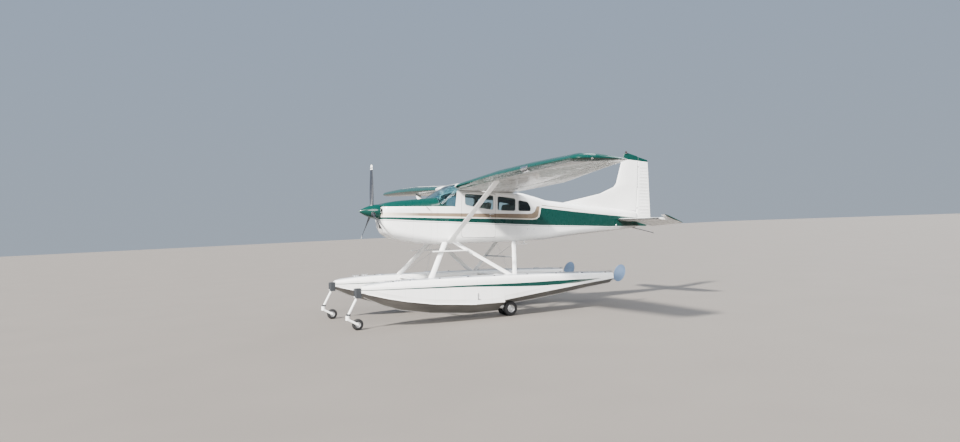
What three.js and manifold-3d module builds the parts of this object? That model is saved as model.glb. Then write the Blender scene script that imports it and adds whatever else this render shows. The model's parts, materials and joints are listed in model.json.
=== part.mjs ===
// A four-seat high-wing floatplane on twin amphibious floats, parked on its wheels.
// Millimetres, +Z up, nose toward -Y, port wing toward +X.
// Stations (y) count aft from the spinner's tip, before the whole part is centred on its own box.

import * as THREE from 'three';
import { mergeVertices } from 'three/addons/utils/BufferGeometryUtils.js';
import Module from 'manifold-3d';

const wasm = await Module();
wasm.setup();

// Driving dimensions

const GAP = 0.3;                    // between pieces that touch
const SWING_GAP = 8;                // round a door, flap or rudder
const GROUND_TILT = THREE.MathUtils.degToRad(0.94);   // floats' decks, tail down, parked on the wheels
const NOSE_UP = THREE.MathUtils.degToRad(2.26);       // fuselage against the floats' decks
const THRUST_HEIGHT = 2418;         // spinner tip above the floats' base line

const SPINNER_LENGTH = 452;
const SPINNER_RADIUS = 165;
const SPINNER_FULLNESS = 1.9;       // 1 is a plain cone
const HUB_STATION = 300;
const PROP_RADIUS = 1040;
const COWL_FRONT = 470;
const FIREWALL = 1500;
const CABIN_END = 4500;
const WALL = 38;                    // door and cabin wall, skin to lining
const COWL_SHEET = 12;
const ROOF = 500;                   // top of the cabin under the wing

const WING_ROOT = 567;
const WING_LE = 2017;
const WING_Z = 579;
const CENTRE_FRONT = 2125;          // front of the wing's centre section, where the windshield ends
const CHORD = 1633;
const TIP_CHORD = 1117;
const HALF_SPAN = 5443;
const DIHEDRAL = THREE.MathUtils.degToRad(1.83);
const TAPER_START = 2560;
const HINGE_FRACTION = 0.735;       // control surface hinge line, part of the chord

const FLOAT_X = 1136;               // half the spacing of the floats
const STEP_STATION = 2740;

// Materials

const finish = (color, roughness, metalness = 0) =>
  new THREE.MeshStandardMaterial({ color, roughness, metalness });

const WHITE = finish(0xf1f1ee, 0.35);
const GREEN = finish(0x0b6f63, 0.35);
const FLOAT_WHITE = finish(0xececea, 0.4);
const GREY_METAL = finish(0xb9bcc0, 0.45, 0.6);
const DARK_METAL = finish(0x3a3c40, 0.5, 0.4);
const BLADE_GREY = finish(0x2f3136, 0.5, 0.2);
const RUBBER = finish(0x1c1c1d, 0.85);
const GLASS = finish(0x9fb4bd, 0.08);
const FABRIC = finish(0x8d8578, 0.9);
const PALE_BLUE = finish(0xa9b6c4, 0.5);
const PANEL_DARK = finish(0x26272a, 0.7);

// Solids

function closedGeometry(positions, index) {
  const geometry = new THREE.BufferGeometry();
  geometry.setAttribute('position', new THREE.Float32BufferAttribute(positions, 3));
  geometry.setIndex(index);
  return geometry;
}

function signedVolume(geometry) {
  const p = geometry.attributes.position;
  const index = geometry.index.array;
  const [a, b, c] = [new THREE.Vector3(), new THREE.Vector3(), new THREE.Vector3()];
  let volume = 0;
  for (let i = 0; i < index.length; i += 3) {
    a.fromBufferAttribute(p, index[i]);
    b.fromBufferAttribute(p, index[i + 1]);
    c.fromBufferAttribute(p, index[i + 2]);
    volume += a.dot(b.cross(c)) / 6;
  }
  return volume;
}

function faceOut(geometry) {
  if (signedVolume(geometry) < 0) {
    const index = geometry.index.array;
    for (let i = 0; i < index.length; i += 3) {
      [index[i + 1], index[i + 2]] = [index[i + 2], index[i + 1]];
    }
  }
  return geometry;
}

// A skin through rings of equal length, closed at both ends by a fan from the ring's middle.
function loft(rings) {
  const count = rings[0].length;
  const positions = [];
  const index = [];
  for (const ring of rings) {
    for (const point of ring) positions.push(point.x, point.y, point.z);
  }
  for (let r = 0; r < rings.length - 1; r += 1) {
    for (let k = 0; k < count; k += 1) {
      const a = r * count + k;
      const b = r * count + (k + 1) % count;
      index.push(a, b, a + count, b, b + count, a + count);
    }
  }
  for (const [r, turn] of [[0, 1], [rings.length - 1, -1]]) {
    const middle = new THREE.Vector3();
    for (const point of rings[r]) middle.addScaledVector(point, 1 / count);
    const centre = positions.length / 3;
    positions.push(middle.x, middle.y, middle.z);
    for (let k = 0; k < count; k += 1) {
      const a = r * count + k;
      const b = r * count + (k + 1) % count;
      if (turn > 0) index.push(centre, b, a);
      else index.push(centre, a, b);
    }
  }
  return faceOut(closedGeometry(positions, index));
}

function toSolid(geometry) {
  const bare = geometry.clone();
  bare.deleteAttribute('normal');
  bare.deleteAttribute('uv');
  const welded = mergeVertices(bare, 1e-3);
  return new wasm.Manifold(new wasm.Mesh({
    numProp: 3,
    vertProperties: new Float32Array(welded.attributes.position.array),
    triVerts: new Uint32Array(welded.index.array),
  }));
}

function toGeometry(solid) {
  const mesh = solid.getMesh();
  const stride = mesh.numProp;
  const positions = [];
  for (let i = 0; i < mesh.vertProperties.length; i += stride) {
    positions.push(...mesh.vertProperties.slice(i, i + 3));
  }
  return closedGeometry(positions, Array.from(mesh.triVerts));
}

// A flat outline in the YZ plane, given as [y, z] pairs, pushed out along X from x0 to x1.
function sidePrism(outline, x0, x1) {
  const ring = (x) => outline.map(([y, z]) => new THREE.Vector3(x, y, z));
  return prismFromRings(ring(x0), ring(x1));
}

// A flat outline in the XY plane, given as [x, y] pairs, from z0 up to z1.
function planPrism(outline, z0, z1) {
  const ring = (z) => outline.map(([x, y]) => new THREE.Vector3(x, y, z));
  return prismFromRings(ring(z0), ring(z1));
}

function prismFromRings(first, second) {
  const count = first.length;
  const alongX = Math.abs(first[0].x - second[0].x) > 1e-6;
  const flat = first.map((point) => new THREE.Vector2(alongX ? point.z : point.x, point.y));
  const positions = [];
  const index = [];
  for (const point of [...first, ...second]) positions.push(point.x, point.y, point.z);
  for (let k = 0; k < count; k += 1) {
    const next = (k + 1) % count;
    index.push(k, next, k + count, next, next + count, k + count);
  }
  const ringTurn = Math.sign(THREE.ShapeUtils.area(flat));
  for (const [a, b, c] of THREE.ShapeUtils.triangulateShape(flat.slice(), [])) {
    const turn = Math.sign(THREE.ShapeUtils.area([flat[a], flat[b], flat[c]]));
    const [p, q] = turn === ringTurn ? [b, c] : [c, b];
    index.push(a, q, p, a + count, p + count, q + count);
  }
  return faceOut(closedGeometry(positions, index));
}

function box(x0, x1, y0, y1, z0, z1) {
  const geometry = new THREE.BoxGeometry(x1 - x0, y1 - y0, z1 - z0);
  geometry.translate((x0 + x1) / 2, (y0 + y1) / 2, (z0 + z1) / 2);
  return geometry;
}

// A rod of round or flattened section between two points; width lies along `across`.
function rod(start, end, width, thickness = width, sides = 12, across = new THREE.Vector3(0, 1, 0)) {
  const along = end.clone().sub(start).normalize();
  const u = across.clone().addScaledVector(along, -across.dot(along)).normalize();
  const v = along.clone().cross(u);
  const ring = (centre) => Array.from({ length: sides }, (_, k) => {
    const angle = 2 * Math.PI * k / sides;
    return centre.clone()
      .addScaledVector(u, Math.cos(angle) * width / 2)
      .addScaledVector(v, Math.sin(angle) * thickness / 2);
  });
  return loft([ring(start), ring(end)]);
}

// A lathe profile of [radius, height] pairs about an axis along X or Y.
function turned(profile, axis, segments = 24) {
  const geometry = new THREE.LatheGeometry(profile.map(([r, h]) => new THREE.Vector2(r, h)), segments);
  if (axis === 'x') geometry.rotateZ(-Math.PI / 2);
  if (axis === 'z') geometry.rotateX(Math.PI / 2);
  return faceOut(mergedClosed(geometry));
}

function mergedClosed(geometry) {
  const bare = geometry.clone();
  bare.deleteAttribute('normal');
  bare.deleteAttribute('uv');
  return withoutFlatTriangles(mergeVertices(bare, 1e-3));
}

function withoutFlatTriangles(geometry) {
  const index = geometry.index.array;
  const kept = [];
  for (let i = 0; i < index.length; i += 3) {
    const [a, b, c] = [index[i], index[i + 1], index[i + 2]];
    if (a !== b && b !== c && a !== c) kept.push(a, b, c);
  }
  return closedGeometry(Array.from(geometry.attributes.position.array), kept);
}

const v3 = (x, y, z) => new THREE.Vector3(x, y, z);

// A block on three directions: from b0 to b1 along `back`, and the half widths given along the others
function block(at, back, [b0, b1], axis, halfAxis, up, halfUp) {
  const ring = (b) => [[1, 1], [-1, 1], [-1, -1], [1, -1]].map(([i, j]) => at.clone()
    .addScaledVector(back, b).addScaledVector(axis, i * halfAxis).addScaledVector(up, j * halfUp));
  return toSolid(loft([ring(b0), ring(b1)]));
}

// A hinge of a control surface: a lug on the fixed piece, its eye round a pin across a slot in the
// moving piece. `reach` is from the pin forward into the fixed piece.
const PIN_RADIUS = 6;
const EYE_RADIUS = 13;
const LUG_HALF = 9;
const SLOT_HALF = 15;
const SLOT_DEPTH = 20;
const HINGE_SIDES = 10;
const boreOver = (radius) => (radius + GAP) / Math.cos(Math.PI / HINGE_SIDES);
function hinge(at, axis, reach, noseDepth) {
  const forward = v3(0, -1, 0);
  const up = axis.clone().cross(forward).normalize();
  const along = (radius, half) => toSolid(rod(at.clone().addScaledVector(axis, -half),
    at.clone().addScaledVector(axis, half), 2 * radius, 2 * radius, HINGE_SIDES));
  const neck = block(at, forward, [0, reach], axis, LUG_HALF, up, EYE_RADIUS * 0.6);
  return {
    lug: along(EYE_RADIUS, LUG_HALF).add(neck).subtract(along(boreOver(PIN_RADIUS), 40)),
    slot: block(at, forward, [-SLOT_DEPTH, noseDepth], axis, SLOT_HALF, up, 90),
    pin: along(PIN_RADIUS, SLOT_HALF + 2),
  };
}

// Scene graph

const root = new THREE.Group();
const craft = new THREE.Group();
craft.rotation.x = -GROUND_TILT;
root.add(craft);
const airframe = new THREE.Group();
airframe.position.set(0, 0, THRUST_HEIGHT);
airframe.rotation.x = -NOSE_UP;
craft.add(airframe);

function add(parent, name, shape, material) {
  const geometry = shape.isBufferGeometry ? shape : toGeometry(shape);
  const mesh = new THREE.Mesh(geometry, material);
  mesh.name = name;
  parent.add(mesh);
  return mesh;
}

const SIDES = [['port', 1], ['starboard', -1]];

// The mirror image of a port-side geometry or solid
function mirrored(shape, side) {
  if (side > 0) return shape;
  const geometry = (shape.isBufferGeometry ? shape : toGeometry(shape)).clone();
  geometry.scale(-1, 1, 1);
  return faceOut(geometry);
}

// Fuselage

// y, half width, top, bottom, upper corner radius, lower corner radius
const COWL_SECTIONS = [
  [COWL_FRONT, 285, 135, -330, 150, 150],
  [490, 325, 165, -375, 170, 170],
  [560, 372, 195, -475, 190, 180],
  [760, 428, 236, -578, 205, 180],
  [1100, 475, 275, -645, 215, 175],
  [FIREWALL, 515, 318, -690, 220, 165],
];
const CABIN_SECTIONS = [
  [FIREWALL, 515, 318, -690, 220, 165],
  [1640, 532, 336, -703, 215, 160],
  [2020, 558, ROOF, -690, 60, 150],
  [3040, 560, ROOF, -645, 60, 150],
  [3650, 528, ROOF, -617, 80, 150],
  [4050, 480, 450, -600, 130, 150],
  [CABIN_END, 425, 362, -570, 190, 160],
];
const TAIL_SECTIONS = [
  [CABIN_END, 425, 362, -570, 190, 160],
  [5100, 355, 322, -490, 200, 160],
  [6040, 240, 262, -385, 180, 150],
  [6740, 150, 215, -312, 120, 120],
  [7292, 68, 176, -238, 62, 62],
];

// One fuselage section as a ring of lines and four corner arcs, drawn in by `inset`
function fuselageRing([y, halfWidth, top, bottom, upperRadius, lowerRadius], inset, arcSteps = 5) {
  const corners = [
    [1, 1, upperRadius, 0],
    [-1, 1, upperRadius, 90],
    [-1, -1, lowerRadius, 180],
    [1, -1, lowerRadius, 270],
  ];
  const ring = [];
  for (const [sideX, sideZ, radius, startAngle] of corners) {
    const centreX = sideX * (halfWidth - radius);
    const centreZ = sideZ > 0 ? top - radius : bottom + radius;
    for (let k = 0; k <= arcSteps; k += 1) {
      const angle = THREE.MathUtils.degToRad(startAngle + 90 * k / arcSteps);
      const r = Math.max(radius - inset, 2);
      const pull = radius - inset < 2 ? inset - radius + 2 : 0;
      ring.push(v3(
        centreX - sideX * pull + r * Math.cos(angle),
        y,
        centreZ - sideZ * pull + r * Math.sin(angle),
      ));
    }
  }
  return ring;
}

function fuselageLoft(sections, inset = 0, frontShift = 0, backShift = 0) {
  const rings = sections.map((section, k) => {
    const shift = (k === 0 ? frontShift : 0) + (k === sections.length - 1 ? backShift : 0);
    const ring = fuselageRing(section, inset);
    for (const point of ring) point.y += shift;
    return ring;
  });
  return toSolid(loft(rings));
}

// Windows, doors and windshield opening, all as side views [y, z] with rounded corners
function rounded(outline, radius, steps = 4) {
  const points = [];
  const count = outline.length;
  for (let k = 0; k < count; k += 1) {
    const before = new THREE.Vector2(...outline[(k + count - 1) % count]);
    const corner = new THREE.Vector2(...outline[k]);
    const after = new THREE.Vector2(...outline[(k + 1) % count]);
    const toBefore = before.clone().sub(corner);
    const toAfter = after.clone().sub(corner);
    const reach = Math.min(radius, toBefore.length() / 2, toAfter.length() / 2);
    const start = corner.clone().addScaledVector(toBefore.normalize(), reach);
    const end = corner.clone().addScaledVector(toAfter.normalize(), reach);
    for (let s = 0; s <= steps; s += 1) {
      const t = s / steps;
      const a = start.clone().lerp(corner, t);
      const b = corner.clone().lerp(end, t);
      const point = a.lerp(b, t);
      points.push([point.x, point.y]);
    }
  }
  return points;
}

// An outline drawn in (or let out, if negative) toward its own middle by about `inset`
function drawnIn(outline, inset) {
  const ys = outline.map(([y]) => y);
  const zs = outline.map(([, z]) => z);
  const middle = [(Math.min(...ys) + Math.max(...ys)) / 2, (Math.min(...zs) + Math.max(...zs)) / 2];
  const half = [(Math.max(...ys) - Math.min(...ys)) / 2, (Math.max(...zs) - Math.min(...zs)) / 2];
  return outline.map(([y, z]) => [
    middle[0] + (y - middle[0]) * (half[0] - inset) / half[0],
    middle[1] + (z - middle[1]) * (half[1] - inset) / half[1],
  ]);
}

const DOOR = [[2205, 452], [3030, 452], [3030, -540], [2205, -540]];
const DOOR_RADIUS = 60;
const WINDOWS = {
  door: rounded([[2270, 432], [2985, 416], [2985, 75], [2420, 150], [2275, 180]], 55),
  rear: rounded([[3080, 405], [3565, 365], [3560, 70], [3080, 75]], 55),
  quarter: rounded([[3630, 335], [3905, 300], [3990, 160], [3990, 80], [3630, 70]], 55),
};
const WINDSHIELD_CUT = [[1622, 700], [1622, 330], [1700, 168], [2070, 130], [2100, 505], [2100, 700]];

const cabinOuter = fuselageLoft(CABIN_SECTIONS);
const FIREWALL_THICKNESS = 24;
const cabinInner = fuselageLoft(CABIN_SECTIONS, WALL, FIREWALL_THICKNESS, 2);
const bareShell = cabinOuter.subtract(cabinInner);
const doorPrism = (side, inset) => toSolid(
  mirrored(sidePrism(rounded(drawnIn(DOOR, inset), DOOR_RADIUS), 300, 700), side));
const windowPrism = (name, side, inset) => toSolid(
  mirrored(sidePrism(drawnIn(WINDOWS[name], inset), 250, 700), side));

// A door hinge: an eye on the shell between two knuckles on the door, round a pin outside the skin
const DOOR_HINGES = [-380, 250];
const DOOR_PIN = { x: 575, y: DOOR[0][0] - SWING_GAP / 2 };
const KNUCKLE_RADIUS = 10;
const KNUCKLE_SPAN = [LUG_HALF + 3, LUG_HALF + 15];
const LEAF = { inner: 548, outer: DOOR_PIN.x + 8, length: 49 };
function doorHinge(height, side) {
  const onSide = (solid) => toSolid(mirrored(toGeometry(solid), side));
  const post = (radius, from, to) => toSolid(rod(v3(DOOR_PIN.x, DOOR_PIN.y, height + from),
    v3(DOOR_PIN.x, DOOR_PIN.y, height + to), 2 * radius, 2 * radius, HINGE_SIDES));
  const leaf = (x0, y0, y1, from, to) =>
    toSolid(box(x0, LEAF.outer, y0, y1, height + from, height + to));
  let knuckles = post(PIN_RADIUS, -KNUCKLE_SPAN[1], KNUCKLE_SPAN[1]);
  for (const [from, to] of [KNUCKLE_SPAN, [-KNUCKLE_SPAN[1], -KNUCKLE_SPAN[0]]]) {
    knuckles = knuckles.add(post(KNUCKLE_RADIUS, from, to))
      .add(leaf(DOOR_PIN.x - 8, DOOR_PIN.y, DOOR_PIN.y + LEAF.length, from, to))
      .add(leaf(LEAF.inner, DOOR_PIN.y + 11, DOOR_PIN.y + LEAF.length, from, to));
  }
  const eye = post(EYE_RADIUS, -LUG_HALF, LUG_HALF)
    .add(leaf(LEAF.inner, DOOR_PIN.y - 60, DOOR_PIN.y - SWING_GAP / 2, -LUG_HALF, LUG_HALF))
    .subtract(post(boreOver(PIN_RADIUS), -LUG_HALF - 5, LUG_HALF + 5));
  return { eye: onSide(eye), knuckles: onSide(knuckles) };
}

let cabinShell = bareShell.subtract(toSolid(sidePrism(WINDSHIELD_CUT, -700, 700)));
for (const [, side] of SIDES) {
  cabinShell = cabinShell.subtract(doorPrism(side, -SWING_GAP));
  for (const height of DOOR_HINGES) cabinShell = cabinShell.add(doorHinge(height, side).eye);
  for (const name of ['rear', 'quarter']) cabinShell = cabinShell.subtract(windowPrism(name, side, 0));
}
add(airframe, 'cabin_shell', cabinShell, WHITE);

const GLASS_DEPTH = 10;
const GLASS_THICKNESS = 8;
const glassSheet = fuselageLoft(CABIN_SECTIONS, GLASS_DEPTH)
  .subtract(fuselageLoft(CABIN_SECTIONS, GLASS_DEPTH + GLASS_THICKNESS, -2, 2));
for (const [sideName, side] of SIDES) {
  let door = bareShell.intersect(doorPrism(side, 0)).subtract(windowPrism('door', side, 0));
  for (const height of DOOR_HINGES) door = door.add(doorHinge(height, side).knuckles);
  add(airframe, `door_${sideName}`, door, WHITE);
  add(airframe, `door_glass_${sideName}`, glassSheet.intersect(windowPrism('door', side, GAP)), GLASS);
  for (const name of ['rear', 'quarter']) {
    const glass = glassSheet.intersect(windowPrism(name, side, GAP));
    add(airframe, `${name}_glass_${sideName}`, glass, GLASS);
  }
}

// Windshield: a bent sheet between its base on the deck and the wing's leading edge
function windshield() {
  // x, y, z along the base and along the top, from the middle out to the door post
  const base = [[0, 1626, 334], [300, 1626, 332], [430, 1645, 300], [510, 1690, 205], [540, 1760, 163],
    [552, 2064, 132]];
  const top = [[0, CENTRE_FRONT, 650], [300, CENTRE_FRONT, 648], [420, CENTRE_FRONT - 2, 638],
    [500, CENTRE_FRONT - 6, 612], [545, CENTRE_FRONT - 16, 560], [554, 2094, 498]];
  const rows = 6;
  const bulge = 34;
  const thickness = 8;
  const half = (list) => [...list.slice(1).reverse().map(([x, y, z]) => [-x, y, z]), ...list];
  const lower = half(base);
  const upper = half(top);
  const sheet = (depth) => {
    const grid = [];
    for (let r = 0; r <= rows; r += 1) {
      const t = r / rows;
      grid.push(lower.map(([x, y, z], k) => {
        const [x1, y1, z1] = upper[k];
        const point = v3(x + (x1 - x) * t, y + (y1 - y) * t, z + (z1 - z) * t);
        const push = bulge * Math.sin(Math.PI * t) * (1 - Math.abs(point.x) / 560);
        const inward = v3(-point.x / 560, 0.5, -0.5).normalize();
        return point.add(v3(0, -push * 0.7, push * 0.7)).addScaledVector(inward, depth);
      }));
    }
    return grid;
  };
  const rings = [];
  const outer = sheet(0);
  const inner = sheet(thickness);
  for (let r = 0; r <= rows; r += 1) rings.push([...outer[r], ...inner[r].slice().reverse()]);
  return stripLoft(rings);
}

// A loft whose end rings are thin strips: two rows of equal length, one the other's return
function stripLoft(rings) {
  const count = rings[0].length;
  const half = count / 2;
  const positions = [];
  const index = [];
  for (const ring of rings) {
    for (const point of ring) positions.push(point.x, point.y, point.z);
  }
  for (let r = 0; r < rings.length - 1; r += 1) {
    for (let k = 0; k < count; k += 1) {
      const a = r * count + k;
      const b = r * count + (k + 1) % count;
      index.push(a, b, a + count, b, b + count, a + count);
    }
  }
  for (const [r, turn] of [[0, 1], [rings.length - 1, -1]]) {
    for (let k = 0; k < half - 1; k += 1) {
      const a = r * count + k;
      const b = a + 1;
      const c = r * count + count - 1 - k;
      const d = c - 1;
      if (turn > 0) index.push(a, c, b, b, c, d);
      else index.push(a, b, c, b, d, c);
    }
  }
  return faceOut(closedGeometry(positions, index));
}
const wingCentreCutter = toSolid(box(-700, 700, CENTRE_FRONT - GAP, 3700, ROOF, 800));
add(airframe, 'windshield', toSolid(windshield()).subtract(cabinShell.add(wingCentreCutter)), GLASS);

// Cowl in an upper and a lower half, open at the back, with its inlets cut
const cowlOuter = fuselageLoft(COWL_SECTIONS, 0, 0, -GAP);
const cowlInner = fuselageLoft(COWL_SECTIONS, COWL_SHEET, COWL_SHEET, 5);
const COWL_SPLIT = [[400, 99], [1600, 129]];
const SPINNER_HOLE = 110;
let cowl = cowlOuter.subtract(cowlInner);
const inlet = rounded([[90, 70], [262, 70], [262, -75], [150, -75]], 50);
for (const [, side] of SIDES) {
  const ring = (y) => inlet.map(([x, z]) => v3(x * side, y, z));
  cowl = cowl.subtract(toSolid(loft([ring(430), ring(500)])));
}
const carburettorIntake = box(-75, 75, 430, 560, -378, -275);
cowl = cowl.subtract(toSolid(carburettorIntake));
cowl = cowl.subtract(toSolid(rod(v3(0, 440, 0), v3(0, 500, 0), 2 * SPINNER_HOLE, 2 * SPINNER_HOLE, 24,
  v3(1, 0, 0))));
const splitAbove = (shift) => toSolid(sidePrism([
  [COWL_SPLIT[0][0], COWL_SPLIT[0][1] + shift], [COWL_SPLIT[1][0], COWL_SPLIT[1][1] + shift],
  [COWL_SPLIT[1][0], 500], [COWL_SPLIT[0][0], 500]], -600, 600));
add(airframe, 'cowl_upper', cowl.intersect(splitAbove(GAP)), GREEN);
add(airframe, 'cowl_lower', cowl.subtract(splitAbove(0)), WHITE);

const ENGINE = { halfWidth: 340, front: 640, back: FIREWALL - GAP, bottom: -330, top: 110 };
add(airframe, 'engine_block', box(-ENGINE.halfWidth, ENGINE.halfWidth, ENGINE.front, ENGINE.back, ENGINE.bottom,
  ENGINE.top), DARK_METAL);

// Propeller, spinner and shaft
function spinnerShell() {
  const profile = [];
  const steps = 8;
  for (let k = 0; k <= steps; k += 1) {
    const t = k / steps;
    profile.push([SPINNER_RADIUS * (1 - (1 - t) ** SPINNER_FULLNESS) ** 0.95, t * SPINNER_LENGTH]);
  }
  profile[0][0] = 0;
  profile.push([0, SPINNER_LENGTH]);
  const geometry = turned(profile, 'y', 24);
  return geometry;
}
const BLADES = 3;
const BLADE_PHASE = THREE.MathUtils.degToRad(-3.8);
const BLADE_PITCH = THREE.MathUtils.degToRad(24);
// radius, chord, thickness, extra twist in degrees
const BLADE_SECTIONS = [
  [60, 78, 78, 0],
  [170, 84, 66, 22],
  [330, 106, 34, 14],
  [560, 114, 21, 6],
  [800, 100, 13, 0],
  [960, 82, 9, -3],
  [PROP_RADIUS, 48, 5, -5],
];
function blade(angle) {
  const rings = BLADE_SECTIONS.map(([radius, chord, thickness, twist]) => {
    const pitch = BLADE_PITCH + THREE.MathUtils.degToRad(twist);
    return Array.from({ length: 12 }, (_, k) => {
      const a = 2 * Math.PI * k / 12;
      const along = Math.cos(a) * chord / 2;
      const across = Math.sin(a) * thickness / 2;
      return v3(
        along * Math.cos(pitch) - across * Math.sin(pitch),
        HUB_STATION + along * Math.sin(pitch) + across * Math.cos(pitch),
        radius,
      );
    });
  });
  const geometry = loft(rings);
  geometry.rotateY(angle);
  return toSolid(geometry);
}
const HUB_RADIUS = 92;
let propeller = toSolid(turned([[0, 215], [HUB_RADIUS, 215], [HUB_RADIUS, 385], [0, 385]], 'y', 24));
for (let k = 0; k < BLADES; k += 1) propeller = propeller.add(blade(BLADE_PHASE + k * 2 * Math.PI / BLADES));
const spinnerInner = toSolid(turned([[0, 205], [96, 205], [126, 275], [126, 432], [0, 432]], 'y', 24));
let spinner = toSolid(spinnerShell()).subtract(spinnerInner);
for (let k = 0; k < BLADES; k += 1) {
  const hole = rod(v3(0, HUB_STATION, 80), v3(0, HUB_STATION, 220), 104, 104, 16, v3(1, 0, 0));
  hole.rotateY(BLADE_PHASE + k * 2 * Math.PI / BLADES);
  spinner = spinner.subtract(toSolid(hole));
}
const shaftHole = rod(v3(0, 425, 0), v3(0, 460, 0), 110, 110, 24, v3(1, 0, 0));
spinner = spinner.subtract(toSolid(shaftHole));
add(airframe, 'spinner', spinner, WHITE);
const SHAFT_RADIUS = 54.5;
const shaft = toSolid(turned([[0, 300], [SHAFT_RADIUS, 300], [SHAFT_RADIUS, ENGINE.front - GAP],
  [0, ENGINE.front - GAP]], 'y', 24));
add(airframe, 'propeller', propeller.add(shaft), BLADE_GREY);

// Tail

const STAB_Z = -50;
const ELEVATOR_HINGE = 7205;
const STAB_HALF = 1480;
const TAIL_HALF = 1670;
const ELEVATOR_DROOP = THREE.MathUtils.degToRad(20);
const ELEVATOR_HINGES = [-1250, -450, 450, 1250];

// A thin symmetric section from y0 to y1 in a plane of constant x, closed at the back
function symmetricRing(x, y0, y1, z, thickness, steps = 6) {
  const upper = [];
  const lower = [];
  for (let k = 0; k <= steps; k += 1) {
    const t = (1 - Math.cos(Math.PI * k / steps)) / 2;
    const half = thickness / 2 * Math.min(1, Math.sqrt(t * 2.6) * 1.02);
    upper.push(v3(x, y0 + (y1 - y0) * t, z + half));
    if (k > 0) lower.push(v3(x, y0 + (y1 - y0) * t, z - half));
  }
  return [...upper, ...lower.reverse()];
}

function stabiliser(extra) {
  const back = ELEVATOR_HINGE - 38 - SWING_GAP + extra;
  const section = (x, y0, thickness) => symmetricRing(x, y0 - extra, back, STAB_Z, thickness + 2 * extra);
  return toSolid(loft([
    section(-STAB_HALF, 6915, 52),
    section(-120, 6630, 82),
    section(120, 6630, 82),
    section(STAB_HALF, 6915, 52),
  ]));
}

const TAIL_SHEET = 16;
let tailcone = fuselageLoft(TAIL_SECTIONS, 0, GAP, 0).subtract(fuselageLoft(TAIL_SECTIONS, TAIL_SHEET, -5, -60));
tailcone = tailcone.subtract(stabiliser(GAP));
const torqueTubeBore = rod(v3(-300, ELEVATOR_HINGE, STAB_Z), v3(300, ELEVATOR_HINGE, STAB_Z), 84, 84, 16);
tailcone = tailcone.subtract(toSolid(torqueTubeBore));
let stabiliserSolid = stabiliser(0);
for (const x of ELEVATOR_HINGES) {
  stabiliserSolid = stabiliserSolid.add(hinge(v3(x, ELEVATOR_HINGE, STAB_Z), v3(1, 0, 0), 56, 60).lug);
}
add(airframe, 'stabiliser', stabiliserSolid, WHITE);

// Elevator halves with horns, joined by the torque tube, drawn level about its own hinge line
function elevator() {
  const noseRadius = 30;
  const half = (side) => {
    // x, nose ahead of the hinge, trailing edge behind the hinge, thickness
    const stations = [
      [100, noseRadius, 250, 60],
      [290, noseRadius, 440, 58],
      [STAB_HALF + SWING_GAP, noseRadius, 320, 46],
      [STAB_HALF + SWING_GAP + 2, 255, 320, 46],
      [TAIL_HALF - 30, 262, 292, 40],
      [TAIL_HALF, 235, 265, 14],
    ];
    const rings = stations.map(([x, nose, tail, thickness]) => [
      v3(x * side, -nose, 0),
      v3(x * side, -nose * 0.72, thickness / 2 * 0.72),
      v3(x * side, -nose * 0.2, thickness / 2),
      v3(x * side, tail * 0.25, thickness / 2 * 0.86),
      v3(x * side, tail, 4),
      v3(x * side, tail, -4),
      v3(x * side, tail * 0.25, -thickness / 2 * 0.86),
      v3(x * side, -nose * 0.2, -thickness / 2),
      v3(x * side, -nose * 0.72, -thickness / 2 * 0.72),
    ]);
    return toSolid(loft(rings));
  };
  const tube = toSolid(rod(v3(-130, 0, 0), v3(130, 0, 0), 50, 50, 16));
  let whole = half(1).add(half(-1)).add(tube);
  for (const x of ELEVATOR_HINGES) {
    const { slot, pin } = hinge(v3(x, 0, 0), v3(1, 0, 0), 0, 60);
    whole = whole.subtract(slot).add(pin);
  }
  return whole;
}
const elevatorMount = new THREE.Group();
elevatorMount.position.set(0, ELEVATOR_HINGE, STAB_Z);
elevatorMount.rotation.x = -ELEVATOR_DROOP;
airframe.add(elevatorMount);
add(elevatorMount, 'elevator', elevator(), WHITE);

// Fin and rudder: level sections from the leading edge to the hinge line
const hingeAt = (z) => 7345 + 0.038 * z;
const FIN_TOP = 1690;
// z, leading edge, thickness
const FIN_SECTIONS = [
  [-60, 5150, 60],
  [340, 5160, 60],
  [690, 6230, 72],
  [812, 6640, 84],
  [880, 6722, 90],
  [1400, 6868, 74],
  [1640, 6950, 58],
  [FIN_TOP, 7010, 30],
];
function levelRing(z, y0, y1, thickness, slope = 0) {
  return symmetricRing(0, y0, y1, 0, thickness).map((p) => v3(p.z, p.y, z - (p.y - y0) * slope));
}
const TOP_SLOPE = 0.33;
function fin() {
  const rings = FIN_SECTIONS.map(([z, lead, thickness]) =>
    levelRing(z, lead, hingeAt(z) - 34 - SWING_GAP, thickness, z >= 1640 ? TOP_SLOPE : 0));
  return toSolid(loft(rings));
}
const tailKeepOut = fuselageLoft(TAIL_SECTIONS, -GAP, GAP - 40, 60);
let finSolid = fin().subtract(tailKeepOut).subtract(toSolid(box(-200, 200, 7000, 7600, -400, 190)));
const RUDDER_HINGES = [260, 800, 1330];
const rudderHinge = (z) => hinge(v3(0, hingeAt(z), z), v3(0, hingeAt(1) - hingeAt(0), 1).normalize(), 50, 60);
for (const z of RUDDER_HINGES) finSolid = finSolid.add(rudderHinge(z).lug);
add(airframe, 'fin', finSolid, WHITE);

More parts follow.
